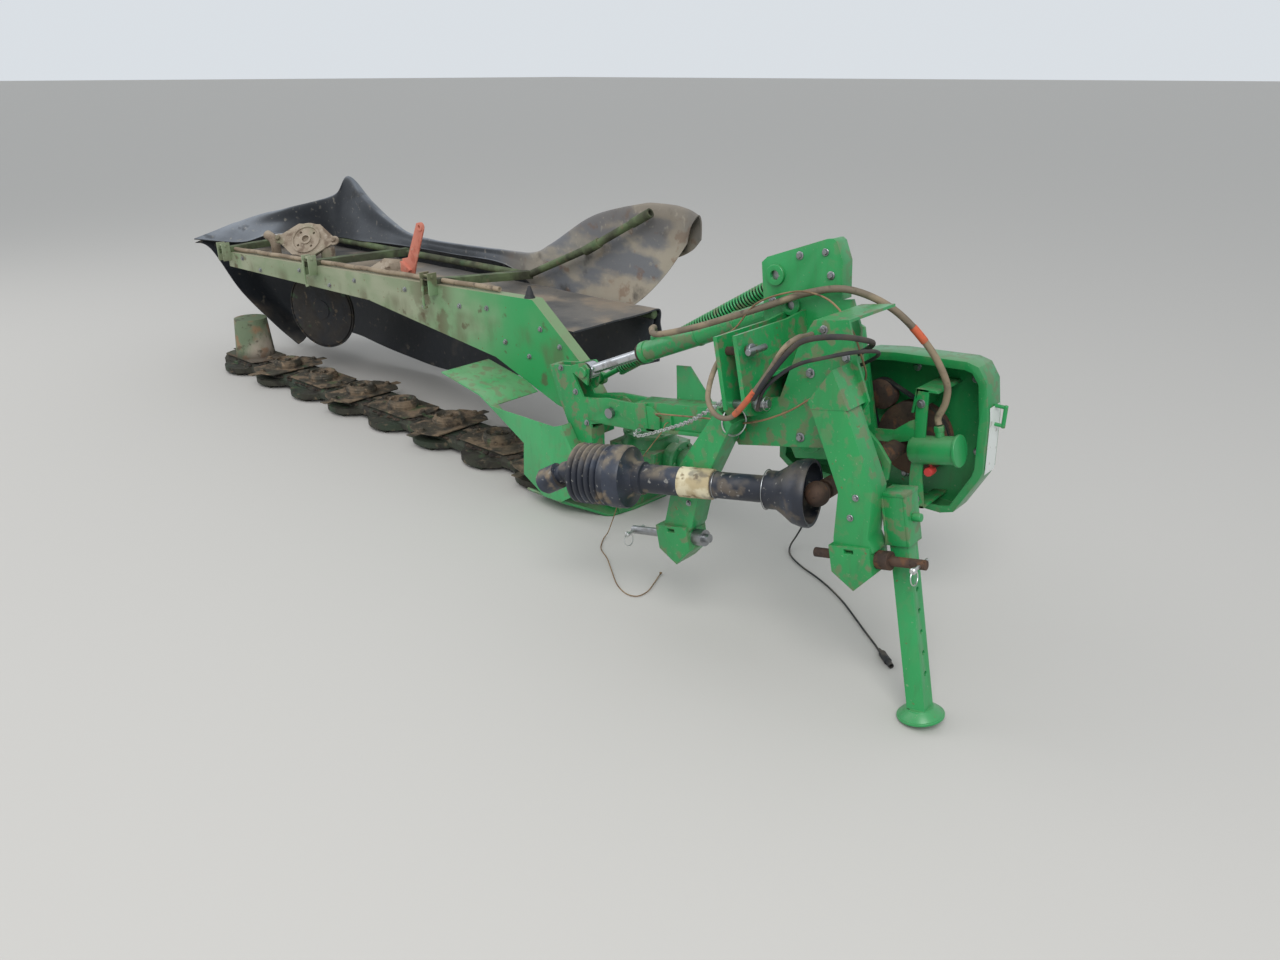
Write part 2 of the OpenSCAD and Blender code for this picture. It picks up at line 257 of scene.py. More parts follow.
def green_paint(name, colour=(28, 140, 72), dusty=0.3, chips=0.6):
    m = Mat(name, colour, 0.36, coat=0.25)
    m.spots(((2.4, 0.30, 0.72, 0.55), (46, 156, 92)),
            ((6.0, 0.42, 0.72, 0.35, (1, 1, 0.35)), (24, 112, 58), 0.42))
    m.over(m.by(m.slope(0.25, 1.0), m.noise(5.0, 0.2, 0.8, dusty, detail=9)), (150, 152, 128), 0.75)
    m.spots(((17.0, 0.50, 0.95, dusty * 0.7, (1, 1, 0.4), 9), (112, 128, 92), 0.7),
            ((42.0, 0.70, 0.725, chips), RUST, 0.85),
            ((90.0, 0.66, 0.72, 0.35), (150, 156, 132), 0.8))
    m.spots(((26.0, 0.5, 0.6, 0.6), (120, 104, 84), 0.8), within=m.edge(0.52, 0.58))
    m.spots(((55.0, 0.5, 0.8, 0.18, (1, 1, 0.2)), DIRT, 0.7))
    m.bump(m.noise(180.0, 0.3, 0.8, detail=2), 0.06, 0.001)
    m.bump(m.noise(4.0, 0.3, 0.7), 0.05, 0.004)
    return m.done()


def dusty_green(name):
    m = Mat(name, (128, 142, 102), 0.6)
    m.over(m.along(0, OX - 0.75, OX - 0.05), (74, 168, 100), 0.45)
    m.spots(((2.0, 0.4, 0.62, 0.7), (158, 160, 130), 0.75),
            ((6.0, 0.5, 0.68, 0.5), (98, 122, 74), 0.6))
    m.over(m.slope(0.4, 0.9, 0.55), (160, 150, 122), 0.85)
    m.spots(((11.0, 0.62, 0.70, 0.75), (74, 62, 44), 0.85),
            ((40.0, 0.66, 0.72, 0.6), RUST, 0.9))
    m.bump(m.noise(60.0, 0.3, 0.8), 0.12, 0.001)
    return m.done()


def beam_green(name):
    """The long beam: chalky and tan outside, clean green towards the gusset, stained along its lower edge."""
    m = Mat(name, (130, 142, 112), 0.6)
    m.spots(((1.6, 0.4, 0.62, 0.6, (1, 1, 3)), (160, 162, 138), 0.75),
            ((5.0, 0.5, 0.70, 0.5), (104, 130, 90), 0.6))
    m.spots(((2.2, 0.22, 0.5), (44, 150, 84), 0.42), within=m.along(0, OX - 1.1, OX - 0.1))
    m.over(m.along(0, OX - 0.3, OX + 0.0, 0.8), (40, 148, 80), 0.4)
    m.spots(((8.0, 0.46, 0.54, 0.75), (92, 80, 58), 0.85),
            within=m.by(m.along(0, OX - 1.1, OX - 0.85), m.along(0, OX - 0.62, OX - 0.8)))
    m.spots(((6.0, 0.46, 0.66, 0.6, (1, 1, 0.5)), (92, 88, 62), 0.8), within=m.along(2, 0.72, 0.66))
    m.spots(((12.0, 0.63, 0.72, 0.7), (84, 70, 50), 0.85),
            ((44.0, 0.66, 0.71, 0.7), RUST, 0.9))
    m.over(m.slope(0.4, 0.9, 0.6), (158, 148, 126), 0.85)
    stop = m.by(m.by(m.along(0, OX - 0.179, OX - 0.177), m.along(0, OX - 0.121, OX - 0.123)),
        m.along(2, 0.833, 0.835))
    m.over(stop, (30, 31, 34), 0.6)
    m.bump(m.noise(60.0, 0.3, 0.8), 0.12, 0.001)
    return m.done()


def speckled(name, colour, rough, layers, grain, metal=0.0):
    """A surface with spots of colour laid over it by noise, and its grain as noise, strength and depth."""
    m = Mat(name, colour, rough, metal)
    m.spots(*layers)
    m.bump(m.noise(*grain[0]), *grain[1:])
    return m.done()


def grimy(name, base=(44, 54, 40), caked=0.7):
    return speckled(name, base, 0.7, [
        ((5.0, 0.4, 0.6, 0.7), (56, 50, 42), 0.9), ((16.0, 0.48, 0.62, caked), (38, 33, 29), 0.95),
        ((9.0, 0.6, 0.7, 0.6), (58, 88, 54), 0.6), ((24.0, 0.6, 0.7, 0.5), (118, 102, 82), 0.95)],
        ((30.0, 0.3, 0.75), 0.5, 0.004))


def pale_iron(name):
    """The hub and arms that lie on the cover, tan with dust, and the red stay."""
    m = Mat(name, (156, 142, 124), 0.75)
    m.spots(((7.0, 0.42, 0.6, 0.8), (126, 110, 92), 0.8), ((5.0, 0.52, 0.66, 0.6), (112, 124, 92), 0.7),
        ((18.0, 0.52, 0.66, 0.7), (96, 78, 62), 0.85))
    red = m.by(m.along(0, OX - 1.262, OX - 1.252), m.along(2, 0.748, 0.752))
    m.over(red, (196, 118, 98), 0.7)
    m.spots(((16.0, 0.5, 0.62, 0.6), (168, 84, 64), 0.75), within=red)
    m.spots(((40.0, 0.6, 0.7, 0.5), (180, 168, 152), 0.85))
    m.bump(m.noise(60.0, 0.3, 0.7), 0.3, 0.002)
    return m.done()


def cone_paint(name):
    m = Mat(name, (170, 158, 142), 0.7)
    m.spots(((4.0, 0.40, 0.55, 0.8, (1, 1, 0.5)), (74, 104, 70), 0.6), ((9.0, 0.5, 0.62, 0.7), (150, 112, 84), 0.85),
        ((26.0, 0.55, 0.68, 0.7), (72, 62, 50), 0.85))
    m.over(m.along(2, 0.16, 0.08, 0.8), (60, 50, 40), 0.9)
    m.bump(m.noise(45.0, 0.3, 0.7), 0.3, 0.002)
    return m.done()


def black_rubber(name, base=(40, 42, 46), dusty=0.35):
    m = Mat(name, base, 0.6)
    m.spots(((6.0, 0.45, 0.7, dusty), (86, 82, 76), 0.75))
    m.spots(((14.0, 0.4, 0.7, dusty + 0.2), (128, 118, 102), 0.85), within=m.slope(0.3, 0.95))
    m.bump(m.noise(70.0, 0.3, 0.8), 0.15, 0.001)
    return m.done()


def bare(name, base=(150, 152, 154), rough=0.35):
    return speckled(name, base, rough, [((22.0, 0.5, 0.7, 0.5), (104, 96, 86), 0.55),
        ((50.0, 0.66, 0.72, 0.6), RUST, 0.8)], ((160.0, 0.3, 0.8), 0.08, 0.0005), 0.9)


def weave(m, size=900.0, strength=0.12):
    """Coated cloth: the fabric's fine grid under its rubber coat."""
    for stretch in ((1, 0.05, 0.05), (0.05, 1, 0.05), (0.05, 0.05, 1)):
        m.bump(m.noise(size, 0.35, 0.65, stretch=stretch, detail=1), strength, 0.0004)


def curtain_cloth(name):
    m = Mat(name, (31, 35, 41), 0.5, sheen=0.1)
    m.spots(((1.6, 0.42, 0.62, 0.5), (50, 54, 60), 0.55))
    m.spots(((2.2, 0.25, 0.55, 0.8), (112, 106, 98), 0.8),
            ((4.0, 0.48, 0.64, 0.8), (140, 124, 104), 0.85), within=m.slope(0.3, 0.9))
    m.spots(((5.0, 0.60, 0.76, 0.4), (112, 106, 96), 0.85), ((24.0, 0.62, 0.74, 0.35), (150, 140, 122), 0.9),
        ((9.0, 0.62, 0.72, 0.6), (20, 22, 25), 0.45))
    m.bump(m.noise(26.0, 0.3, 0.7), 0.18, 0.003)
    weave(m)
    return m.done()


def flap_cloth(name):
    """The guard's cloth: grey-black outside, with a painted highlight in cool grey on its up-facing faces, its raised
    inner end bleached to tan and grey with dark stains.
    """
    m = Mat(name, (38, 42, 48), 0.5, sheen=0.1)
    m.spots(((1.8, 0.42, 0.62, 0.6), (72, 77, 84), 0.5))
    # painted highlight: faces that look upwards are painted a lighter cool grey, as where the sky lights them
    m.spots(((3.0, 0.3, 0.6, 0.8), (128, 134, 142), 0.6), within=m.slope(0.2, 0.85))
    m.spots(((9.0, 0.62, 0.72, 0.6), (22, 24, 28), 0.5))
    inner = m.along(0, OX - 1.15, OX - 0.65)
    m.over(inner, (120, 118, 114), 0.75)
    m.spots(((1.7, 0.36, 0.56), (164, 154, 138), 0.8),
            ((2.6, 0.48, 0.64, 0.8), (138, 122, 102), 0.85),
            ((2.2, 0.50, 0.60, 0.85, (1, 1, 2)), (102, 106, 114), 0.7),
            ((4.6, 0.58, 0.68, 0.85), (64, 60, 56), 0.8),
            ((13.0, 0.58, 0.68, 0.5), (120, 84, 58), 0.85), within=inner)
    m.over(m.by(inner, m.along(2, 0.93, 1.12, 0.55)), (96, 88, 80), 0.75)
    m.spots(((34.0, 0.60, 0.72, 0.3), (176, 168, 152), 0.9))
    m.bump(m.noise(26.0, 0.3, 0.7), 0.18, 0.003)
    weave(m)
    return m.done()


def hose(name, base, caked):
    return speckled(name, base, 0.7, [((9.0, 0.4, 0.62, 0.8), caked, 0.85), ((34.0, 0.55, 0.7, 0.6), (60, 52, 44),
        0.85)], ((120.0, 0.3, 0.7), 0.2, 0.0008))


def shaft_plastic(name, soiled):
    m = Mat(name, (30, 34, 44), 0.42)
    m.spots(((7.0, 0.45, 0.62, 0.4), (66, 74, 90), 0.5), ((13.0, 0.56, 0.68, soiled), (134, 118, 96), 0.85),
        ((60.0, 0.64, 0.70, 0.6), (150, 148, 142), 0.8))
    m.spots(((18.0, 0.4, 0.66, soiled), (128, 116, 98), 0.85), within=m.slope(0.2, 0.9))
    m.bump(m.noise(70.0, 0.3, 0.8), 0.15, 0.001)
    return m.done()


PAINT, GREEN = "green_paint", green_paint("paint_green")
RUSTY = speckled("iron_rusty", (86, 66, 54), 0.75, [
    ((12.0, 0.4, 0.6, 0.8), (58, 48, 44), 0.8), ((30.0, 0.54, 0.68, 0.7), (116, 80, 56), 0.85),
    ((70.0, 0.6, 0.7, 0.5), (40, 34, 32), 0.85)], ((90.0, 0.3, 0.7), 0.35, 0.001), 0.35)
WORN = speckled("steel_worn", (70, 66, 56), 0.6, [
    ((10.0, 0.42, 0.6, 0.8), (132, 112, 90), 0.85), ((22.0, 0.5, 0.66, 0.75), (52, 46, 40), 0.9),
    ((13.0, 0.6, 0.68, 0.5), (70, 98, 62), 0.6), ((40.0, 0.62, 0.7, 0.6), (158, 136, 110), 0.8)],
    ((45.0, 0.3, 0.7), 0.4, 0.003), 0.15)
SLOTS = {
    PAINT: GREEN,
    "dusty_green": dusty_green("paint_dusty"),
    "grimy_steel": grimy("steel_grimy"),
    "worn_steel": WORN,
    "rusty_iron": RUSTY,
    "black_steel": grimy("steel_black", (30, 32, 36), 0.3),
    "bare_steel": bare("steel_bare"),
    "chrome_rod": bare("rod_chrome", (196, 198, 202), 0.2),
    "black_plastic": black_rubber("plastic_black", (34, 36, 42), 0.2),
    "curtain_cloth": curtain_cloth("cloth_curtain"),
}
OWN = {
    "frame_beam": beam_green("paint_beam"),
    "disc_1": cone_paint("paint_cone"),
    "swath_hub": pale_iron("iron_pale"),
    "pto_inner": shaft_plastic("shaft_inner", 0.35),
    "pto_outer": shaft_plastic("shaft_outer", 0.85),
    "inner_shield": green_paint("paint_shield", (66, 164, 98), 0.55, 0.5),
    "rear_frame": grimy("frame_shaded", (76, 96, 62), 0.5),
    "inner_shoe": green_paint("paint_shoe", (38, 122, 64), 0.7, 0.9),
    "gear_housing": green_paint("paint_gear", (36, 116, 60), 0.75, 0.8),
    "guard_frame": grimy("guard_worn", (92, 106, 72), 0.4),
}
for part in frame["record"]["subparts"]:
    node = NODES[part["node"]]
    if not node.data.materials:
        node.data.materials.append(None)
    for i in range(len(node.data.materials)):
        node.data.materials[i] = OWN.get(part["node"]) or SLOTS[part["material_slot"]]


# ---- pieces ----
def smooth(a, b, c, d, t):
    return (b * 2 + (c - a) * t + (a * 2 - b * 5 + c * 4 - d) * (t * t) + (b * 3 - c * 3 + d - a) * (t * t * t)) / 2


def fine(p, k):
    """A smooth line through points, k steps from each to the next."""
    out = []
    for i in range(len(p) - 1):
        a, b, c, d = p[max(i - 1, 0)], p[i], p[i + 1], p[min(i + 2, len(p) - 1)]
        out += [smooth(a, b, c, d, s / k) for s in range(k)]
    return out + [p[-1]]


def line(points):
    return [MM(*p) for p in points]


def length(p):
    return sum((b - a).length for a, b in zip(p, p[1:]))


def placed(name, data, body, slot):
    """A mesh or curve in the scene, riding its body."""
    o = bpy.data.objects.new(name, data)
    scene.collection.objects.link(o)
    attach(o, body)
    return o


def shaped(name, verts, faces, mat, body, slot, flat=False, autosmooth=None):
    me = bpy.data.meshes.new(name)
    me.from_pydata([tuple(v) for v in verts], [], faces)
    me.update()
    for f in me.polygons:
        f.use_smooth = not flat
    if autosmooth:
        me.set_sharp_from_angle(angle=math.radians(autosmooth))
    me.materials.append(mat)
    return placed(name, me, body, slot)


def tube(name, pts, d, mat, body, slot, sides=4):
    cu = bpy.data.curves.new(name, "CURVE")
    cu.dimensions = "3D"
    cu.bevel_depth = d / 2
    cu.bevel_resolution = sides
    cu.use_fill_caps = True
    sp = cu.splines.new("POLY")
    sp.points.add(len(pts) - 1)
    for q, p in zip(sp.points, pts):
        q.co = (*p, 1)
    sp.use_smooth = True
    cu.materials.append(mat)
    return placed(name, cu, body, slot)


def axes(direction):
    z = direction.normalized()
    x = z.orthogonal().normalized()
    return x, z.cross(x), z


def circle(n, r, start=0):
    """Pairs round a circle, from an angle in degrees."""
    turns = [math.radians(start + 360 / n * k) for k in range(n)]
    return [(r * math.cos(t), r * math.sin(t)) for t in turns]


def closed(n, m):
    """Faces of a ring of n sections with m points each."""
    return [(i * m + k, i * m + (k + 1) % m, (i + 1) % n * m + (k + 1) % m, (i + 1) % n * m + k)
            for i in range(n) for k in range(m)]


def tilted(at, about_z, about_x=0):
    """What places points, in mm, in a frame turned about a point, and the turn itself."""
    rot = Matrix.Rotation(math.radians(about_z), 3, "Z") @ Matrix.Rotation(math.radians(about_x), 3, "X")
    return lambda x, y, z: at + rot @ Vector((x / 1000, y / 1000, z / 1000)), rot


class Heap:
    """Gathers many small forms into one mesh."""

    def __init__(self):
        self.v, self.f = [], []

    def add(self, verts, faces):
        n = len(self.v)
        self.v += verts
        self.f += [tuple(i + n for i in f) for f in faces]

    def turn(self, at, direction, profile, n=24):
        """A profile of (radius, distance), turned about a line."""
        x, y, z = axes(direction)
        v = [at + z * s + (x * math.cos(a) + y * math.sin(a)) * r
             for r, s in profile for a in (2 * math.pi * k / n for k in range(n))]
        last = (len(profile) - 1) * n
        f = [(i + k, i + (k + 1) % n, i + (k + 1) % n + n, i + k + n) for i in range(0, last, n) for k in range(n)]
        self.add(v, f + [tuple(reversed(range(n))), tuple(range(last, last + n))])

    def lathe(self, at, direction, profile, n=24):
        """The same with the profile in mm."""
        self.turn(at, direction, [(r / 1000, s / 1000) for r, s in profile], n)

    def bolt(self, at, direction, d):
        """A hexagon head with a rounded top on a washer."""
        self.turn(at, direction, [(d * 0.72, 0), (d * 0.72, 0.0022), (d * 0.66, 0.003)], 20)
        x, y, z = axes(direction)
        rings = [(d / 2, 0.002), (d / 2, d * 0.52), (d * 0.42, d * 0.6)]
        v = [at + z * s + (x * math.cos(k * math.pi / 3) + y * math.sin(k * math.pi / 3)) * r
             for r, s in rings for k in range(6)]
        f = [(i + k, i + (k + 1) % 6, i + 6 + (k + 1) % 6, i + 6 + k) for i in (0, 6) for k in range(6)]
        self.add(v, f + [tuple(range(5, -1, -1)), tuple(range(12, 18))])

    def ring(self, at, normal, radius, wire, n, m):
        """A wire ring of n steps, its wire m-sided."""
        x, y, z = axes(normal)
        v = []
        for i in range(n):
            a = 2 * math.pi * i / n
            c = x * math.cos(a) + y * math.sin(a)
            for j in range(m):
                b = 2 * math.pi * j / m
                v.append(at + c * (radius + wire / 2 * math.cos(b)) + z * (wire / 2 * math.sin(b)))
        self.add(v, [(i * m + j, (i + 1) % n * m + j, (i + 1) % n * m + (j + 1) % m, i * m + (j + 1) % m)
                     for i in range(n) for j in range(m)])

    def done(self, name, body, slot, mat=None, autosmooth=40):
        return shaped(name, self.v, self.f, mat or SLOTS[slot], body, slot, autosmooth=autosmooth)


def bolts(name, body, rows, place=MM):
    """Bolts that face forwards, from rows of x, y, z and the head's width."""
    heap = Heap()
    for x, y, z, d in rows:
        heap.bolt(place(x, y, z), FRONT, d / 1000)
    heap.done(name, body, "bare_steel")


class Form(Heap):
    """Gathers prisms and round bars, given in mm in the working frame or the headstock's own."""

    def __init__(self, place=MM):
        super().__init__()
        self.p = place

    def prism(self, near, far):
        """Two like rings of points; the near one runs counter-clockwise seen from outside."""
        n = len(near)
        self.add([self.p(*q) for q in near] + [self.p(*q) for q in far], [tuple(range(n)),
            tuple(reversed(range(n, 2 * n)))] + [((i + 1) % n, i, i + n, (i + 1) % n + n) for i in range(n)])
        return self

    def slab(self, pts, y0, y1):
        pts = around(pts)
        return self.prism([(x, y0, z) for x, z in pts], [(x, y1, z) for x, z in pts])

    def wall(self, pts, x0, x1):
        pts = around(pts)
        return self.prism([(x1, y, z) for y, z in pts], [(x0, y, z) for y, z in pts])

    def plate(self, pts, z0, z1):
        pts = around(pts)
        return self.prism([(x, y, z1) for x, y in pts], [(x, y, z0) for x, y in pts])

    def box(self, x0, x1, y0, y1, z0, z1):
        return self.plate([(x0, y0), (x1, y0), (x1, y1), (x0, y1)], z0, z1)

    def rod(self, a, b, d, n=28, chamfer=1.5):
        """A round bar with chamfered ends, between two points."""
        a, b = self.p(*a), self.p(*b)
        r, c, t = d / 2000, min(chamfer, d / 8) / 1000, (b - a).length
        self.turn(a, b - a, [(r - c, 0), (r, c), (r, t - c), (r - c, t)], n)
        return self

    def bar_y(self, x, z, d, y0, y1, n=28):
        return self.rod((x, y0, z), (x, y1, z), d, n)

    def bar_x(self, x0, x1, y, z, d, n=28):
        return self.rod((x0, y, z), (x1, y, z), d, n)

    def pipe(self, p, d, n=20):
        """A bent round tube through points."""
        pts = rounded([self.p(*q) for q in p], d / 1000 * 0.8)
        v, rings = [], []
        up_to = (pts[1] - pts[0]).orthogonal().normalized()
        for i, q in enumerate(pts):
            d0 = (pts[min(i + 1, len(pts) - 1)] - pts[max(i - 1, 0)]).normalized()
            up_to = (up_to - d0 * up_to.dot(d0)).normalized()
            side = d0.cross(up_to)
            rings.append(len(v))
            v += [q + (up_to * math.cos(2 * math.pi * k / n) + side * math.sin(2 * math.pi * k / n)) * (d / 2000)
                  for k in range(n)]
        f = [(a + k, a + (k + 1) % n, a + n + (k + 1) % n, a + n + k) for a in rings[:-1] for k in range(n)]
        f += [tuple(reversed(range(n))), tuple(rings[-1] + k for k in range(n))]
        self.add(v, f)
        return self

    def made(self, name, body="headstock", slot=PAINT, mat=None, nodes=(), cut=None, bevel=1.5):
        """The finished piece: cut by another form, edges bevelled, and standing for the nodes."""
        mat = mat or SLOTS[slot]
        o = shaped(name, self.v, self.f, mat, body, slot, flat=True)
        tool = None
        if cut:
            tool = bpy.data.objects.new(name + "_cut", bpy.data.meshes.new(name + "_cut"))
            tool.data.from_pydata([tuple(v) for v in cut.v], [], cut.f)
            scene.collection.objects.link(tool)
            m = o.modifiers.new("cut", "BOOLEAN")
            m.operation, m.solver, m.use_self, m.object = "DIFFERENCE", "EXACT", True, tool
        if bevel:
            m = o.modifiers.new("bevel", "BEVEL")
            m.width, m.segments, m.limit_method, m.angle_limit = bevel / 1000, 2, "ANGLE", math.radians(35)
        me = bpy.data.meshes.new_from_object(o.evaluated_get(bpy.context.evaluated_depsgraph_get()))
        o.modifiers.clear()
        o.data = me
        if tool:
            bpy.data.objects.remove(tool)
        for f in me.polygons:
            f.use_smooth = True
        me.set_sharp_from_angle(angle=math.radians(40))
        if not me.materials:
            me.materials.append(mat)
        for node in nodes:
            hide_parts(node)
        return o


def around(pts):
    """The same outline, counter-clockwise."""
    area = sum(a[0] * b[1] - b[0] * a[1] for a, b in zip(pts, pts[1:] + pts[:1]))
    return pts if area > 0 else pts[::-1]


def rounded(pts, r):
    out = [pts[0]]
    for a, b, c in zip(pts, pts[1:], pts[2:]):
        cut = min(r, (b - a).length / 2.2, (c - b).length / 2.2)
        p, q = b + (a - b).normalized() * cut, b + (c - b).normalized() * cut
        out += [p * (1 - t) ** 2 + b * 2 * t * (1 - t) + q * t * t for t in (0, 0.2, 0.4, 0.6, 0.8, 1)]
    return out + [pts[-1]]


# ---- free cords ----
CABLE = black_rubber("lead_black", (24, 26, 29), 0.35)
TWINE = hose("twine_brown", (120, 92, 60), (150, 126, 92))
lead_pts = fine(line([(1320, 59, 460), (1320, 86, 460), (1320, 108, 453), (1315, 129, 428), (1308, 143, 390),
    (1296, 154, 330), (1276, 166, 240), (1258, 172, 150), (1244, 170, 90), (1230, 154, 44), (1226, 124, 18),
    (1238, 90, 7), (1266, 56, 4.6), (1312, 24, 4.6), (1370, -4, 4.6), (1436, -30, 4.6), (1510, -66, 4.6),
    (1594, -118, 4.6), (1670, -176, 4.6), (1744, -236, 4.6), (1826, -300, 4.6), (1876, -344, 4.6)]), 8)
lead = tube("lead_cable", lead_pts, 0.007, CABLE, "headstock", "black_plastic")
plug = Heap()
plug_at, plug_dir = MM(1870, -339.5, 13), MM(1930, -389, 13) - MM(1872, -341, 13)
plug.lathe(plug_at, plug_dir, [(4, -22), (6, -12), (7.5, 0), (11.8, 3), (12, 6), (11.2, 8), (12, 10), (11.2, 12),
    (12, 14), (11.2, 16), (12, 18), (12, 46), (12.6, 48), (12.6, 52), (9.2, 54), (9, 78), (6.6, 78), (6.6, 62),
    (1, 62)])
plug = plug.done("lead_plug", "headstock", "black_plastic", black_rubber("plug_black", (30, 31, 34), 0.3))
relief = Heap()
relief.lathe(MM(1320, 56, 460), Vector((0, 1, 0)), [(1, 0), (12, 0), (12, 5), (8.4, 7), (7.8, 12), (6.8, 13),
    (7.2, 18), (6, 19), (6.4, 24), (5.2, 25), (4.8, 32), (3, 33)], 20)
relief = relief.done("lead_relief", "headstock", "black_plastic", black_rubber("relief_black", (28, 29, 32), 0.3))
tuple(lead_pts[0])
length(lead_pts)

twine_pts = fine(line([(870, -232.6, 544), (870, -250, 540), (866, -268, 512), (808, -306, 410), (720, -312, 270),
    (650, -300, 110), (612, -296, 24), (610, -320, 4), (660, -390, 3), (736, -436, 3), (820, -500, 3), (900, -560, 3),
    (970, -590, 3), (1016, -580, 3), (1024, -530, 3), (1000, -460, 3), (975, -398, 3)]), 8)
twine = tube("pull_twine", twine_pts, 0.004, TWINE, "arm", "curtain_cloth")
knot = Heap()
for k in range(3):
    knot.ring(MM(974, -396 + k * 2, 5.8), Vector((0.35 - 0.4 * k, 1, 0.2 * k)), 0.0035, 0.0032, 14, 6)
knot = knot.done("twine_knot", "arm", "curtain_cloth", TWINE)
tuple(twine_pts[0])
length(twine_pts)

# ---- hoses and chain, held at both ends ----
TAN_HOSE = hose("hose_tan", (110, 98, 82), (148, 132, 108))
DARK_HOSE = hose("hose_dark", (36, 37, 40), (76, 68, 58))
ROPE = hose("rope_brown", (118, 92, 66), (150, 122, 90))
ORANGE = hose("band_orange", (196, 92, 58), (150, 92, 66))
feed_pts = fine(line([(764.7, -190, 856), (765.5, -192, 874), (776, -206, 888), (812, -262, 896), (880, -312, 900),
    (1050, -334, 955), (1200, -334, 1014), (1352, -330, 1077), (1500, -334, 1140), (1629, -320, 1164),
    (1740, -250, 1110), (1830, -180, 1000), (1880, -134, 890), (1880, -116, 820), (1861, -112, 763),
    (1866.1, -112, 740.8)]), 8)
tube("feed_hose", feed_pts, 0.022, TAN_HOSE, "headstock", "black_plastic", 6)
loop_pts = fine(line([(1100, -216, 911.4), (1102, -236, 890), (1130, -290, 876), (1210, -380, 886), (1310, -500, 925),
    (1370, -610, 960), (1396, -680, 925), (1406, -704, 870), (1440, -708, 832), (1490, -706, 836), (1545, -704, 900),
    (1603, -700, 986), (1645, -690, 1064), (1662, -650, 1090), (1657, -600, 1084), (1657, -567, 1083.4)]), 8)
tube("loop_hose", loop_pts, 0.016, TAN_HOSE, "headstock", "black_plastic", 6)
chain_pts = fine(line([(745, -247.4, 490), (747, -274, 488), (776, -312, 494), (840, -338, 516), (1016, -400, 604),
    (1159, -470, 683), (1293, -540, 772), (1404, -600, 846), (1440, -626, 822), (1453.2, -630, 834.4)]), 12)


def chain(name, pts, pitch, wide, wire, mat):
    """Links of a chain along a line, each turned a quarter from the last."""
    total, heap = length(pts), Heap()
    count = int(total / pitch)
    seg, run = 0, 0.0
    for i in range(count):
        s = (i + 0.5) * total / count
        while seg < len(pts) - 2 and run + (pts[seg + 1] - pts[seg]).length < s:
            run += (pts[seg + 1] - pts[seg]).length
            seg += 1
        d = (pts[seg + 1] - pts[seg]).normalized()
        at = pts[seg] + d * (s - run)
        side = d.cross(UP).normalized()
        other = side.cross(d)
        a = math.radians(45 + 90 * (i % 2))
        u = side * math.cos(a) + other * math.sin(a)
        n = d.cross(u)
        ends = pitch * 0.5 + wire * 0.75 - wide / 2
        v, ring, m, k = [], [], 6, 8
        for e, base in ((1, -90), (-1, 90)):
            for j in range(k):
                b = math.radians(base + 180 * j / (k - 1))
                c = d * math.cos(b) + u * math.sin(b)
                ring.append((at + d * (e * ends) + c * (wide / 2 - wire / 2), c))
        for p, c in ring:
            for j in range(m):
                b = 2 * math.pi * j / m
                v.append(p + c * (wire / 2 * math.cos(b)) + n * (wire / 2 * math.sin(b)))
        heap.add(v, closed(len(ring), m))
    heap.done(name, "headstock", "bare_steel", mat)


chain("guard_chain", chain_pts, 0.020, 0.017, 0.0045, bare("chain_zinc", (196, 198, 196), 0.4))

# The smaller lines about the mast
for name, pts, d, mat in (("mast_cable", [(1560, -676, 866), (1589, -690, 936), (1650, -690, 1000),
        (1706, -690, 1037), (1769, -685, 1062), (1828, -640, 1078), (1830, -520, 1056), (1780, -400, 1010),
        (1710, -340, 960), (1650, -316, 925), (1618, -303, 905)], 0.011, DARK_HOSE), ("mast_hose", [(1560, -700, 905),
        (1612, -704, 985), (1675, -690, 1073), (1728, -690, 1107), (1819, -690, 1128), (1826, -560, 1093),
        (1780, -440, 1050), (1710, -360, 1000), (1640, -322, 960), (1590, -305, 940)], 0.016, DARK_HOSE),
        ("mast_rope", [(1180, -300, 905), (1160, -326, 940), (1232, -336, 985), (1313, -340, 1079),
        (1442, -345, 1135), (1562, -400, 1155), (1643, -420, 1135), (1705, -420, 1069), (1735, -410, 996),
        (1728, -360, 930), (1690, -320, 880), (1640, -303, 862)], 0.006, ROPE), ("low_rope", [(840, -240, 560),
        (892, -330, 609), (1000, -370, 640), (1224, -430, 694), (1380, -560, 752), (1515, -606, 802),
        (1613, -604, 853), (1671, -590, 897), (1678, -567, 905)], 0.006, ROPE)):
    tube(name, fine(line(pts), 6), d, mat, "headstock", "black_plastic")
for name, pts, a, b, d in (("loop_band", loop_pts, 74, 84, 0.0185), ("feed_band", feed_pts, 84, 88, 0.0245)):
    tube(name, pts[a:b], d, ORANGE, "headstock", "black_plastic", 6)


# ---- cloth ----
THICK, HEM = 0.005, 0.0012


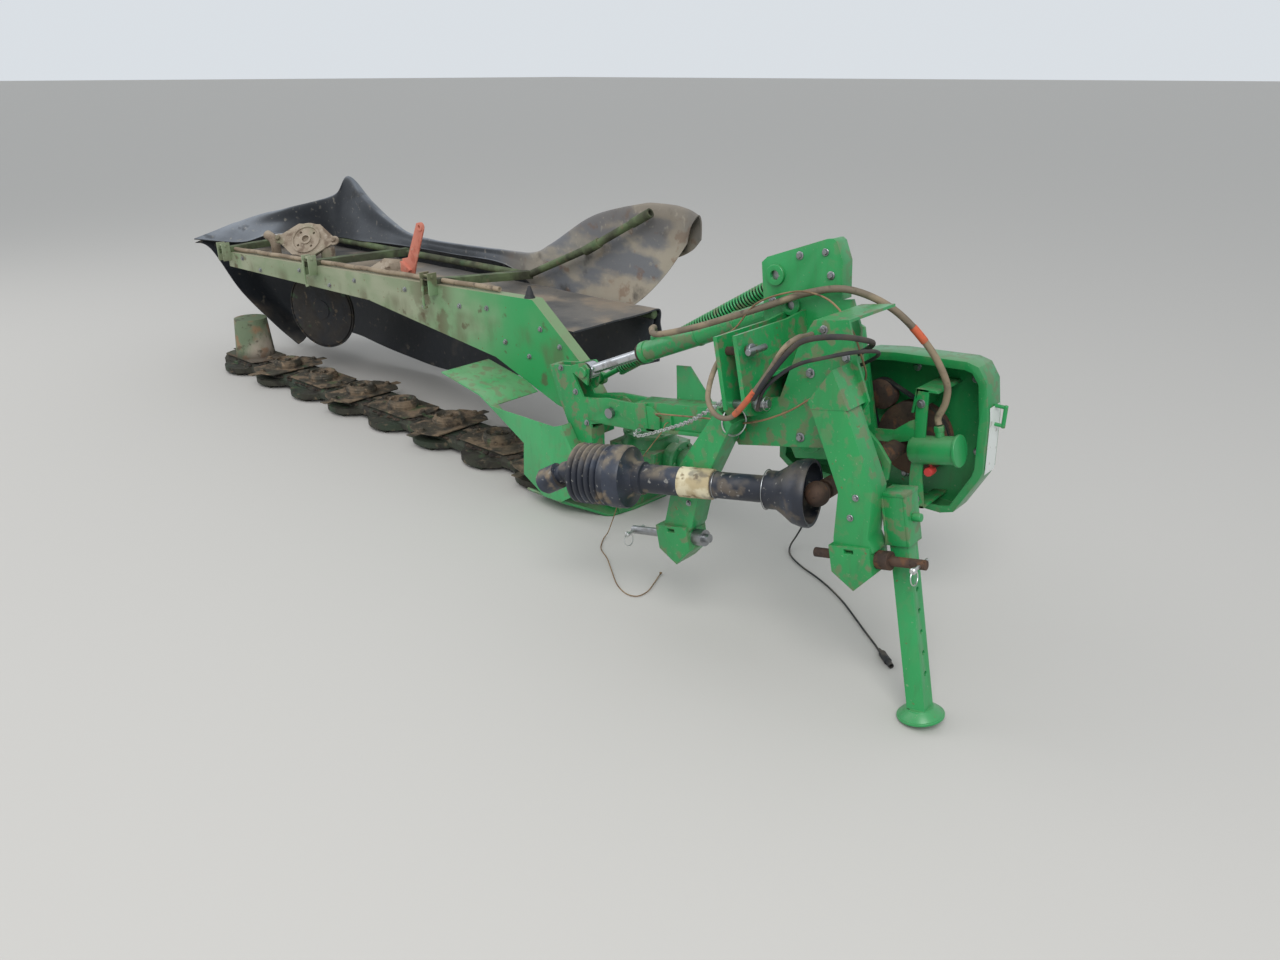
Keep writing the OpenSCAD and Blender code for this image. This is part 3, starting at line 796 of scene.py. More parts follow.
def cloth(name, rows, k, mat, body, amp, seed, node="rear_curtain", drop=0.0,
        calm_edge=False):
    """A sheet through a grid of points, wrinkled, thick and hemmed. Its points lie on its upper side."""
    grid = [[MM(*p) - UP * drop for p in r] for r in rows]
    grid = list(zip(*fine_grid(grid, k[1])))
    grid = [list(r) for r in fine_grid([list(r) for r in grid], k[0])]
    grid = [list(r) for r in zip(*grid)]
    n, m = len(grid), len(grid[0])

    def normal(i, j):
        a = grid[min(i + 1, n - 1)][j] - grid[max(i - 1, 0)][j]
        b = grid[i][min(j + 1, m - 1)] - grid[i][max(j - 1, 0)]
        return a.cross(b).normalized()

    for i in range(n - 1):
        for j in range(m - 1):
            a, b, c, d = grid[i][j], grid[i][j + 1], grid[i + 1][j + 1], grid[i + 1][j]
    long_side = length([r[m // 2] for r in grid])
    top, low = [], []
    for i in range(n):
        for j in range(m):
            p, q = grid[i][j], normal(i, j)
            calm = min(1.0, j / (m * 0.3) + 0.12) if calm_edge else 1.0
            w = noise.noise(p * 3.1 + Vector((seed, 0, 0))) * 0.6 + noise.noise(p * 8.0 + Vector((0, seed, 0))) * 0.3
            w += noise.noise(p * 19.0 + Vector((0, 0, seed))) * 0.1
            lift = amp * calm * w
            rim = HEM if min(i, n - 1 - i) < 1 or min(j, m - 1 - j) < 1 else 0
            top.append(p + q * (lift + rim))
            low.append(p + q * (lift - THICK - rim))
    o = n * m
    faces = []
    for i in range(n - 1):
        for j in range(m - 1):
            a = i * m + j
            faces += [(a, a + 1, a + m + 1, a + m), (o + a, o + a + m, o + a + m + 1, o + a + 1)]
    for i in range(n - 1):
        a, b = i * m, i * m + m - 1
        faces += [(a, a + m, o + a + m, o + a), (b + m, b, o + b, o + b + m)]
    for j in range(m - 1):
        a, b = j, (n - 1) * m + j
        faces += [(a + 1, a, o + a, o + a + 1), (b, b + 1, o + b + 1, o + b)]
    piece = shaped(name, top + low, faces, mat, body, "curtain_cloth", autosmooth=60)
    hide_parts(node)


def fine_grid(rows, k):
    return list(zip(*[fine(list(col), k) for col in zip(*rows)]))


COVER_Z, BACK_Y = 695.3, 680
cover_rows = []
for x, z, y in ((-3050, 90, 600), (-2900, 110, 640), (-2600, 118, 660), (-2300, 96, 650), (-2000, 62, 668),
        (-1680, 44, 684), (-1380, 92, 660), (-1000, 150, 646), (-700, 230, 664), (-400, 300, 660), (-100, 372, 668),
        (70, 430, 676)):
    cover_rows.append([(x, 74, COVER_Z), (x, 300, COVER_Z), (x, 560, COVER_Z), (x, 656, COVER_Z),
        (x, BACK_Y, COVER_Z - 22), (x, BACK_Y - 2, COVER_Z - 72), (x, (BACK_Y + y) / 2 + 14, (COVER_Z + z) / 2),
        (x, y, z)])
CLOTH = SLOTS["curtain_cloth"]
cloth("rear_cloth", cover_rows, (6, 5), CLOTH, "bar", 0.008, 3.0, calm_edge=True)
side_rows = [
    [(-3232, -36, 742), (-3226, 60, 690), (-3180, 190, 400), (-3060, 330, 170), (-2950, 420, 30)],
    [(-3232, 120, 776), (-3228, 170, 670), (-3186, 270, 400), (-3086, 400, 180), (-2980, 480, 40)],
    [(-3210, 320, 776), (-3204, 330, 650), (-3170, 400, 400), (-3096, 480, 190), (-3020, 540, 60)],
    [(-3036, 470, 706), (-3038, 490, 630), (-3060, 520, 400), (-3056, 560, 200), (-3034, 584, 80)]]
cloth("side_cloth", side_rows, (8, 8), CLOTH, "bar", 0.008, 7.0)
drape_rows = [
    [(-640, 642, 645.1), (-640, 640, 560), (-660, 646, 470), (-620, 650, 380)],
    [(-440, 642, 645.1), (-440, 632, 560), (-430, 626, 450), (-440, 628, 350)],
    [(-240, 642, 645.1), (-240, 640, 560), (-230, 646, 440), (-250, 654, 330)],
    [(-60, 642, 645.1), (-40, 628, 570), (-30, 618, 480), (-70, 624, 380)],
    [(56, 642, 645.1), (50, 638, 590), (30, 644, 520), (6, 650, 440)]]
cloth("inner_drape", drape_rows, (8, 8), CLOTH, "bar", 0.006, 11.0)

guard_rows = [
    [(-3232, -36, 768), (-3238, 140, 806), (-3246, 300, 836), (-3226, 470, 800), (-3196, 610, 720)],
    [(-3060, 190, 738), (-3070, 280, 830), (-3070, 360, 896), (-3050, 540, 850), (-3020, 700, 680)],
    [(-2900, 340, 790), (-2890, 400, 860), (-2872, 430, 944), (-2860, 600, 890), (-2850, 760, 640)],
    [(-2720, 590, 770), (-2710, 570, 890), (-2692, 560, 996), (-2680, 690, 930), (-2660, 820, 620)],
    [(-2590, 600, 770), (-2580, 600, 900), (-2552, 610, 1050), (-2530, 720, 980), (-2520, 850, 590)],
    [(-2490, 604, 772), (-2500, 630, 960), (-2484, 655, 1148), (-2470, 750, 1020), (-2450, 866, 570)],
    [(-2330, 604, 772), (-2350, 640, 910), (-2350, 660, 1050), (-2320, 770, 920), (-2300, 880, 560)],
    [(-2150, 636, 775), (-2160, 660, 850), (-2150, 676, 930), (-2140, 790, 830), (-2130, 890, 550)],
    [(-1900, 668, 775), (-1900, 676, 812), (-1900, 700, 842), (-1900, 810, 740), (-1900, 896, 540)],
    [(-1500, 680, 775), (-1500, 688, 806), (-1500, 706, 830), (-1500, 820, 728), (-1500, 892, 540)],
    [(-1080, 676, 776), (-1080, 690, 812), (-1080, 708, 842), (-1080, 820, 740), (-1070, 894, 560)],
    [(-880, 684, 700), (-870, 694, 780), (-850, 712, 858), (-840, 800, 780), (-830, 880, 600)],
    [(-740, 690, 612), (-740, 696, 760), (-724, 714, 914), (-710, 780, 850), (-690, 850, 660)],
    [(-560, 690, 598), (-550, 700, 800), (-520, 716, 1030), (-500, 770, 980), (-480, 820, 780)],
    [(-360, 690, 606), (-350, 704, 840), (-330, 716, 1104), (-310, 762, 1060), (-300, 800, 860)],
    [(-180, 690, 652), (-150, 700, 880), (-90, 712, 1160), (-80, 752, 1110), (-80, 786, 900)],
    [(-60, 690, 722), (0, 694, 920), (100, 700, 1172), (100, 740, 1120), (90, 770, 930)],
    [(90, 690, 862), (150, 684, 1000), (220, 684, 1170), (214, 720, 1126), (204, 746, 980)],
    [(220, 684, 1020), (250, 672, 1100), (300, 664, 1158), (290, 700, 1120), (276, 720, 1040)]]
cloth("guard_cloth", guard_rows, (8, 8), flap_cloth("cloth_flap"), "guard", 0.009, 5.0, "guard_curtain",
      drop=0.0009, calm_edge=True)

# ---- rigid forms that the plain solids lack ----
# headstock: tower plates, legs, ears, cross box
tower = Form(H)
tower.slab([(-123, 824), (-100, 838), (120, 868), (142, 866), (152, 856), (164, 796), (147, 684), (183, 683),
    (200, 591), (176, 470), (150, 330), (90, 180), (-90, 180), (-140, 330), (-145, 609)], -300, -286)
tower.slab([(-123, 824), (-14, 838), (-12, 620), (74, 560), (80, 180), (-90, 180), (-140, 330), (-145, 609)],
    -60, -46)
tower.slab([(134, 867), (142, 866), (152, 856), (164, 796), (147, 684), (139, 684), (156, 796), (145, 852)],
    -286, -242)
tower.slab([(70, 182), (120, 116), (176, 92), (236, 120), (250, 176), (218, 238), (148, 326)], -300, -286)
tower.slab([(62, 190), (74, 190), (74, 556), (62, 563)], -286, -60)
holes = Form(H)
for (x, z), boss, bore in ((ARM_PIVOT, 96, 51), (CYLINDER_TOP, 66, 31), (SPRING_TOP, 66, 31)):
    tower.bar_y(x, z, boss, -312, -300)
    tower.bar_y(x, z, boss, -46, -40)
    holes.bar_y(x, z, bore, -400, 0)
tower.made("tower_plates", nodes=["tower"], cut=holes)

legs, hollow = Form(H), Form(H)
legs.slab([(225, 463), (270, 270), (286, 204), (254, 66), (249, 30), (376, 30), (374, 40), (363, 72), (393, 211),
           (312, 547)], -664, -582)
hollow.slab([(244, 440), (281, 273), (296, 206), (265, 66), (259, 50), (364, 50), (354, 74), (384, 210), (336, 440)],
            -656, -581)
legs.slab([(-97, 438), (-293, 241), (-340, 147), (-392, 30), (-284, 30), (-269, 48), (-219, 159), (-49, 392)],
          -664, -582)
hollow.slab([(-105, 418), (-286, 236), (-331, 143), (-374, 50), (-294, 50), (-279, 54), (-228, 163), (-70, 382)],
            -656, -581)
legs.made("frame_legs", nodes=["a_frame"], cut=hollow)
blocks, holes = Form(H), Form(H)
for cx in (304.4, -351.6):
    blocks.slab([(cx - 64, 46), (cx + 64, 46), (cx + 64, -36), (cx, -88), (cx - 64, -36)], -674, -572)
    holes.box(cx - 16, cx + 14, -675, -650, 24, 38)
holes.bar_x(-500, 500, PIN_Y, 0, 30)
blocks.made("hitch_blocks", cut=holes)
head, holes = Form(H), Form(H)
head.slab([(232, 440), (225, 463), (312, 547), (346, 436)], -665.5, -556)
head.slab([(60, 440), (95, 500), (152, 600), (211, 668), (320, 662), (331, 552), (354, 436), (290, 400)], -566, -556)
head.slab([(203, 661), (211, 668), (320, 662), (320, 654), (213, 659)], -556, -300)
head.slab([(-150, 392), (-110, 300), (240, 300), (354, 436), (60, 450), (-97, 438)], -566, -556)
head.slab([(-97, 438), (-49, 392), (-60, 380), (-120, 416)], -660, -566)
for x in (-64, 192):
    head.box(x, x + 10, -556, -300, 300, 490 if x < 0 else 554)
head.slab([(-64, 485), (-64, 494), (202, 560), (202, 550)], -566, -300)
head.slab([(-64, 300), (202, 300), (202, 310), (-64, 310)], -556, -300)
for side in (-1, 1):
    cx = -23.6 + side * 35
    head.wall([(-672, 655), (-672, 436), (-654, 415), (-540, 402), (-440, 430), (-300, 470), (-300, 665),
        (-400, 655)], cx - 7, cx + 7)
holes.bar_x(-130, 130, PIN_Y, 605, 27)
holes.bar_x(-130, 130, PIN_Y, 446, 27)
head.made("head_frame", cut=holes)
bracket = Form(H)
for x0, x1, y0, y1 in ((380, 388, -602, -526), (445, 453, -602, -526), (388, 445, -602, -594),
        (388, 445, -534, -526)):
    bracket.box(x0, x1, y0, y1, 34, 186)
bracket.box(378, 455, -604, -524, 178, 188)
bracket.bar_x(453, 478, -564, 110, 24)
bracket.made("stand_bracket")
stow = Form(H)
stow.bar_x(-92, 72, PIN_Y, 446, 25.4)
stow.bar_x(26, 44, PIN_Y, 446, 44)
stow.bar_x(26, 40, PIN_Y, 605, 38)
stow.bar_y(52, 605, 20, -674, -586)
stow.made("stow_pin", "headstock", "bare_steel")

# parking stand with its row of holes
stand, holes = Form(H), Form(H)
LOW = -512.4
stand.box(388.4, 444.4, -592, -536, LOW + 16, 106)
for k in range(1, 6):
    holes.bar_x(360, 470, -564, -40 - k * 66, 15)
stand.rod((416.4, -564, LOW), (416.4, -564, LOW + 9), 138, 48)
stand.lathe(H(416.4, -564, LOW + 8), H(0, 0, 1) - H(0, 0, 0), [(65, 0), (62, 6), (41, 20), (40, 24)], 48)
stand.made("stand_leg", "stand", nodes=["parking_stand"], cut=holes)

# belt guard with its rolled rim, bracket and handle
guard, holes = Form(), Form()
OUT = [(1240, 630), (1330, 780), (1480, 882), (1560, 908), (1660, 922), (1900, 936), (1940, 926), (1972, 880),
       (1992, 760), (2000, 590), (1990, 560), (1925, 432), (1880, 416), (1300, 416), (1250, 450)]
INN = [(1248, 629), (1336, 773), (1484, 874), (1562, 900), (1661, 914), (1898, 928), (1934, 920), (1964, 877),
       (1984, 759), (1992, 592), (1983, 564), (1919, 439), (1878, 424), (1302, 424), (1258, 454)]
RIM = [(1290, 630), (1350, 756), (1490, 852), (1562, 880), (1661, 894), (1896, 908), (1922, 902), (1946, 870),
       (1964, 758), (1972, 596), (1966, 570), (1908, 450), (1872, 440), (1310, 440), (1274, 462)]
guard.slab(OUT, -46, 58)
holes.slab(INN, -38, 52)
holes.slab(RIM, -47, -37)
guard.made("belt_cover", "headstock", PAINT, green_paint("paint_cover", (26, 128, 66), 0.35, 0.7),
    nodes=["belt_guard"], cut=holes, bevel=2.5)
inside = Form()
inside.slab([(1776, 764), (1784, 846), (1850, 850), (1858, 842), (1792, 838), (1784, 764)], -126, 52)
inside.slab([(1796, 700), (1784, 846), (1826, 848), (1838, 560), (1858, 453), (1810, 443), (1796, 540)], -126, -118)
inside.slab([(1810, 443), (1858, 453), (1856, 461), (1808, 451)], -126, 52)
for z in (740, 800):
    inside.bar_x(1986, 2028, 10, z, 12)
inside.rod((2022, 10, 733), (2022, 10, 807), 13)
inside.made("cover_bracket")
bolts("cover_bolts", "headstock", [
    (1500, 52, 800, 20), (1700, 52, 860, 20), (1900, 52, 860, 20), (1940, 52, 620, 20), (1700, 52, 480, 20),
    (1806, -126, 800, 20), (1826, -126, 480, 20), (1826, -126, 640, 20)])
motor = Form(H)
motor.bar_x(240, 384, -112, 166, 92, 40)
motor.bar_x(384, 394, -112, 166, 104, 40)
motor.bar_x(232, 240, -112, 166, 80, 40)
motor.rod((330, -112, 166), (330, -112, 230), 28)
motor.rod((330, -112, 226), (330, -112, 246), 34, 6)
motor.slab([(112, 236), (180, 232), (236, 262), (262, 270), (262, 160), (236, 160), (224, 196), (180, 190),
    (112, 196)], -122, -112)
motor.made("tensioner_body", nodes=["belt_tensioner"])
knob = Form(H)
knob.rod((290, -112, 130), (290, -112, 98), 10)
knob.bar_y(290, 98, 30, -136, -100, 8)
knob.made("red_knob", "headstock", "black_plastic", Mat("knob_red", (196, 60, 56), 0.5).done(), bevel=2)

# gearbox input, pulleys and belts
DX, DZ = SHAFT_START
drive = Form(H)
drive.bar_y(DX, DZ, 60, -560, -320, 36)
drive.bar_y(DX, DZ, 110, -360, -312, 40)
drive.bar_y(DX, DZ, 84, -410, -360, 40)
drive.bar_y(DX, DZ, 60, -308, -6, 36)
back = H(0, 1, 0) - H(0, 0, 0)
drive.lathe(H(DX, -20, DZ), back, [(36, 0), (118, 14), (126, 20), (112, 28), (126, 36), (112, 44), (126, 52),
    (112, 60), (126, 66), (118, 70), (1, 70)], 64)
drive.lathe(H(DX - 95, -20, DZ + 154), back, [(20, 0), (48, 10), (52, 14), (44, 22), (52, 30), (44, 38), (52, 46),
    (48, 50), (1, 50)], 48)
drive.made("drive_line", "headstock", "rusty_iron", nodes=["input_drive"], bevel=0)
belts = Heap()
for y in (4, 12, 20):
    a, b = (DX, DZ, 121), (DX - 95, DZ + 154, 49)
    d = Vector((b[0] - a[0], b[1] - a[1]))
    base, ratio = math.atan2(d.y, d.x), math.acos((a[2] - b[2]) / d.length)
    belt = [(a[0] + a[2] * math.cos(t), a[1] + a[2] * math.sin(t))
             for t in [base + ratio + (2 * math.pi - 2 * ratio) * k / 24 for k in range(25)]]
    belt += [(b[0] + b[2] * math.cos(t), b[1] + b[2] * math.sin(t))
              for t in [base - ratio + 2 * ratio * k / 12 for k in range(13)]]
    n = len(belt)
    mid = (sum(p[0] for p in belt) / n, sum(p[1] for p in belt) / n)
    v = []
    for px, pz in belt:
        c = Vector((px - mid[0], pz - mid[1])).normalized() * 4
        v += [H(px + c.x * i, y + j, pz + c.y * i) for i, j in ((-1, -3), (1, -4), (1, 4), (-1, 3))]
    belts.add(v, closed(n, 4))
belts.done("drive_belts", "headstock", "black_plastic")

# arm and upright
ARM_Y = -190
arm = Form()
cheek = [(456, 461), (459, 551), (560, 574), (795, 590), (835, 560), (835, 500), (745, 480), (560, 462)]
for y in (-240, -152):
    arm.slab(cheek, y, y + 12)
px, pz = 1575 - 250 * math.sin(ROLL), 420 + 250 * math.cos(ROLL)
ang = math.atan2(pz - FOLD_Z, px - FOLD_X)


def A(x, y, z):
    """A point of the arm's own frame, along the line from the fold hinge to the pivot."""
    return MM(FOLD_X + x * math.cos(ang) - z * math.sin(ang), ARM_Y + y,
              FOLD_Z + x * math.sin(ang) + z * math.cos(ang))


span = math.hypot(px - FOLD_X, pz - FOLD_Z)
tube_arm = Form(A)
tube_arm.box(140, span - 30, -42, 42, -52, 52)
tube_arm.box(130, 190, -54, 54, -50, 49)
tube_arm.box(174, span - 110, -50, 50, -62, -48)
for x in (300, 520, 740):
    tube_arm.box(x, x + 8, -50, 50, -52, 8)
tube_arm.made("arm_tube", "arm", nodes=["swing_arm"], bevel=3)
arm.bar_y(px, pz, 120, -285.7, -60.3, 40)
arm.slab([(846, 510), (836, 740), (900, 748), (1000, 640), (1035, 560)], -146, -138)
arm.slab([(846, 520), (1035, 560), (1035, 600), (846, 580)], -150, -144)
holes = Form()
holes.bar_y(FOLD_X, FOLD_Z, 41, -270, -110)
arm.made("arm_cheeks", "arm", cut=holes)
upright, holes = Form(), Form()
side_out = [(232, 645), (349, 663), (451, 493), (465, 413), (465, 165), (351, 165), (351, 378), (286, 503)]
for y in (-228, -162):
    upright.slab(side_out, y, y + 10)
    upright.slab([(420, 545), (575, 567), (585, 474), (430, 430)], y, y + 10)
    upright.slab([(330, 655), (445, 600), (452, 668), (426, 688), (396, 680)], y, y + 10)
    upright.bar_y(FOLD_X, FOLD_Z, 92, y, y + 10, 40)
for y in (-240, -152):
    upright.bar_y(426, 651, 44, y, y + 12)
upright.slab([(232, 645), (286, 503), (351, 378), (351, 165), (361, 165), (361, 381), (296, 506), (244, 642)],
    -228, -152)
upright.slab([(455, 420), (455, 165), (465, 165), (465, 420)], -228, -152)
upright.bar_y(400, 590, 60, -152, -140)
upright.slab([(298, 330), (298, 440), (372, 440), (372, 330)], -152, 8)
upright.slab([(300, 440), (372, 440), (340, 470), (310, 474)], -152, 0)
upright.box(340, 480, -242, -138, 150, 165)
holes.bar_y(FOLD_X, FOLD_Z, 41, -260, -120)
upright.made("upright_plates", "bar", nodes=["bar_upright"], cut=holes)
shield = Form()
shield.slab([(-428, 496), (-168, 444), (-93, 405), (-94, 401), (-169, 440), (-428, 492)], -280, -2)
shield.slab([(-428, 496), (-168, 444), (-93, 405), (300, 404), (345, 420), (420, 300), (420, 130), (330, 70),
    (226, 66), (100, 136), (110, 284), (-96, 399), (-169, 438), (-428, 490)], -284, -280)
shield.slab([(-93, 403), (110, 286), (100, 138), (104, 138), (114, 288), (-91, 406)], -280, -246)
shield.slab([(330, 404), (345, 420), (420, 300), (420, 180), (414, 180), (414, 298), (342, 412)], -280, -230)
shield.made("shield_sheet", "bar", PAINT, OWN["inner_shield"], nodes=["inner_shield"], bevel=1)

# shoe and gear housing
shoe = Form()
sole = [(-279.7, 68), (-270, 56), (-185, 16), (-155, 0), (180, 0), (210, 24), (216, 62), (206, 62), (200, 28),
    (176, 10), (-150, 10), (-178, 26), (-260, 65), (-270, 72)]
shoe.wall(sole, 110, 540)
trim = Form()
trim.plate([(300, -300), (560, -300), (560, 230), (529, 230), (529, 190), (516, -24), (491, -136), (400, -210),
    (300, -290)], -20, 120)
shoe.made("shoe_sole", "bar", PAINT, OWN["inner_shoe"], nodes=["inner_shoe"], cut=trim)
block = Form()
block.box(150, 330, -90, 130, 9, 26)
block.box(330, 490, -96, 144, 9, 150)
block.box(316, 506, -106, 154, 86, 100)
block.wall([(-110, 9), (190, 9), (190, 56), (60, 96), (-60, 96), (-110, 60)], 500, 508)
for y in (-70, 20, 110):
    block.box(460, 502, y, y + 8, 9, 79)
for y in (-80, 0, 80):
    block.bar_x(508, 518, y, 70, 26, 6)
block.made("shoe_block", "bar", PAINT, OWN["inner_shoe"])
gear = Form()
gear.box(400, 650, -50, 190, 150, 300)
gear.box(386, 664, -64, 204, 150, 166)
gear.lathe(MM(525, 70, 300), UP, [(125, 0), (104, 40), (116, 40), (116, 54), (96, 54), (70, 88), (30, 90)], 56)
gear.rod((525, 70, 386), (525, 70, 402), 52, 6)
for x, y in circle(8, 104, 22.5):
    gear.rod((525 + x, 70 + y, 354), (525 + x, 70 + y, 362), 18, 6)
gear.bar_x(650, 700, 60, 262, 120, 40)
gear.bar_x(700, 716, 60, 262, 156, 48)
gear.bar_x(716, 766, 60, 262, 96, 40)
for y, z in circle(6, 64):
    gear.bar_x(716, 725, 60 + y, 262 + z, 16, 6)
for y in (-50, 60, 182):
    gear.wall([(y, 166), (y + 8, 166), (y + 8, 260), (y, 260)], 370, 400)
gear.made("gear_case", "bar", PAINT, OWN["gear_housing"], nodes=["gear_housing"], bevel=3)

# guard frame: arms, tubes with the raised end, hooks
SLOPE = 106 / 2773  # of the beam, which rises towards the hitch


def beam_z(x):
    return 719 + (x + 2880) * SLOPE


gf = Form()
for x in (-2900, -1915, -840):
    z = 827 - 0.038 * (-107 - x)
    low = 749 - z + 19
    for a, b in ((x, x + 6), (x + 44, x + 50)):
        gf.wall([(-44, z - 4), (-44, z + 30), (640, 749 + 24), (640, 749 - 19)], a, b)
    gf.wall([(-44, z + 24), (-44, z + 30), (640, 749 + 24), (640, 749 + 18)], x + 6, x + 44)
tube_pts = [(-2875, 616, 749), (-2122, 616, 749), (-1141, 630, 749), (-815, 630, 750), (-337, 636, 953),
    (30, 640, 1145)]
gf.pipe(tube_pts, 38)
u = Vector((367, 4, 192)).normalized()
e = Vector((30, 640, 1145))
k = Vector((-337, 636, 953))
gf.rod(tuple(k - u * 60), tuple(k + u * 50), 50)
gf.rod(tuple(e - u * 120), tuple(e + u * 6), 46)
gf.pipe([(-2875, 622, 766), (-2700, 690, 815), (-2300, 690, 828), (-2080, 690, 824)], 32)
gf.rod((-2300, 620, 752), (-2300, 692, 826), 20)
bore = Form()
bore.rod(tuple(e - u * 60), tuple(e + u * 20), 28)
gf.made("guard_tubes", "guard", "dusty_green", OWN["guard_frame"], nodes=["guard_frame"], cut=bore)
lugs = Form()
for x in (-2900, -1915, -840):
    for t in (x - 9, x + 51):
        lugs.slab([(t, beam_z(t) - 48), (t + 8, beam_z(t) - 48), (t + 8, beam_z(t) + 62), (t, beam_z(t) + 62)],
            -52, 0)
    lugs.rod((x - 16, -30, beam_z(x) + 45), (x + 66, -30, beam_z(x) + 45), 16)
for x in (-1907, -832):
    lugs.slab([(x, beam_z(x) + 34), (x, beam_z(x) - 90), (x + 10, beam_z(x) - 112), (x + 34, beam_z(x) - 104),
        (x + 30, beam_z(x) - 94), (x + 16, beam_z(x) - 98), (x + 12, beam_z(x) - 84), (x + 14, beam_z(x) + 34)],
        -62, -54)
for x in (-2883, -2100, -1300, -500):
    lugs.slab([(x, 634), (x + 8, 634), (x + 8, beam_z(x) - 4), (x, beam_z(x) - 4)], 6, 62)
lugs.made("beam_lugs", "bar", "dusty_green", OWN["frame_beam"])
stop = Heap()
stop.lathe(MM(-150, 26, beam_z(-150) - 2), UP, [(26, 0), (22, 12), (20, 12), (16, 28), (6, 56), (1, 58)], 32)
stop.done("rubber_stop", "bar", "black_plastic")

# hub, elbow pipe and red stay on the cover
HUB, rot = tilted(MM(-2383, 262, 812), 30, 52)
hub, holes = Form(HUB), Form(HUB)
hub.plate([(-190, -12), (-70, -104), (70, -104), (190, -12), (190, 12), (70, 104), (-70, 104), (-190, 12)], 0, 10)
hub.rod((0, 0, 0), (0, 0, 10), 224, 48)
hub.lathe(HUB(0, 0, 10), rot @ UP, [(92, 0), (92, 8), (80, 8), (78, 1), (34, 1), (34, 10), (1, 10)], 48)
for sgn in (-1, 1):
    hub.rod((sgn * 182, 0, 0), (sgn * 182, 0, 10), 60)
    hub.rod((sgn * 182, 0, 10), (sgn * 182, 0, 26), 30, 6)
hub.lathe(HUB(0, 0, -34), rot @ UP, [(108, 0), (92, 34)], 48)
hub.rod((0, 0, -60), (0, 0, -30), 124, 40)
holes.rod((0, 0, -4), (0, 0, 40), 44)
for x, y in circle(4, 60, 45):
    holes.rod((x, y, -4), (x, y, 40), 16)
hub.made("hub_plate", "bar", "rusty_iron", OWN["swath_hub"], nodes=["swath_hub"], cut=holes, bevel=1)
rest, holes = Form(), Form()
rest.rod((-2275, 330, 690), (-2275, 330, 776), 84, 40)
rest.pipe([(-2668, 210, 690), (-2668, 210, 790), (-2741, 204, 815)], 58)
holes.rod((-2720, 206, 807), (-2760, 202, 823), 46)
rest.rod((-1378, 150, 690), (-1378, 150, 792), 70, 40)
rest.made("hub_rests", "bar", "rusty_iron", OWN["swath_hub"], cut=holes)
FOOT = tilted(MM(-1378, 150, 780), 20, 40)[0]
foot = Form(FOOT)
foot.plate([(-130, -20), (-50, -70), (60, -70), (140, -10), (60, 60), (-60, 60)], 0, 12)
foot.rod((0, 0, 12), (0, 0, 22), 90, 36)
foot.rod((0, 0, 22), (0, 0, 34), 40, 6)
foot.made("arm_foot", "bar", "rusty_iron", OWN["swath_hub"])
stay, holes = Form(), Form()
stay.slab([(-1342, 800), (-1250, 752), (-1170, 760), (-1140, 840), (-1052, 1022), (-1072, 1050), (-1108, 1046),
           (-1208, 862), (-1260, 850)], 146, 154)
stay.bar_y(-1080, 1030, 44, 140, 160)
stay.slab([(-1370, 760), (-1240, 752), (-1180, 800), (-1250, 840), (-1360, 810)], 130, 146)
stay.box(-1330, -1230, 128, 172, 696, 760)
holes.bar_y(-1080, 1030, 18, 120, 180)
stay.made("red_stay", "bar", "rusty_iron", OWN["swath_hub"], cut=holes)
SD, rot = tilted(MM(-2260, 230, 412), 18)
disc2 = Form(SD)
disc2.lathe(SD(0, 0, 0), rot @ FRONT, [(231, -4), (231, 5), (237, 5), (237, -10), (223, -10), (223, -4)], 72)
disc2.lathe(SD(0, -2, 0), rot @ FRONT, [(223, 0), (223, 3), (60, 4), (58, 8), (1, 8)], 72)
disc2.box(-30, 30, 4, 16, -60, 238)
disc2.made("hung_disc", "bar", "black_steel", nodes=["swath_disc"], bevel=0)

# drive shaft guards with their bells
J = MM(1733, -600, 629)
SV = Vector((-900, -222, -100.3)).normalized()
tubes = Heap()
tubes.lathe(J, SV, [(80, 60), (90, 40), (90, 14), (98, 12), (102, 18), (102, 34), (94, 64), (78, 86), (70, 98),
    (58, 118), (58, 150), (41, 154), (41, 500), (20, 500)], 64)
inner = tubes.done("shaft_bell", "shaft", "black_plastic", OWN["pto_inner"])
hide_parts("pto_inner")
tubes = Heap()
prof = [(0.0413, 0.330), (0.046, 0.330), (0.046, 0.560), (0.053, 0.564), (0.053, 0.590), (0.068, 0.606),
    (0.098, 0.614), (0.102, 0.622), (0.102, 0.668), (0.092, 0.672)]
for k in range(6):
    prof += [(0.093, 0.676 + k * 0.022), (0.100, 0.684 + k * 0.022), (0.098, 0.692 + k * 0.022),
        (0.089, 0.697 + k * 0.022)]
prof += [(0.084, 0.812), (0.080, 0.800), (0.040, 0.700), (0.028, 0.700)]
tubes.turn(J, SV, prof, 64)
tubes.lathe(J, SV, [(27, 690), (27, 850), (20, 856)], 32)
yoke = J + SV * 0.850
bent = Vector((-0.82, -0.26, -0.5)).normalized()
tubes.lathe(yoke - SV * 0.034, SV, [(10, 0), (30, 10), (37, 34), (30, 58), (10, 68)], 32)
tubes.lathe(yoke, bent, [(30, 0), (30, 40), (44, 40), (44, 102), (35, 104), (35, 116), (18, 116), (18, 104)], 40)
outer = tubes.done("shaft_far_bell", "shaft_end", "black_plastic", OWN["pto_outer"])
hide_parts("pto_outer")

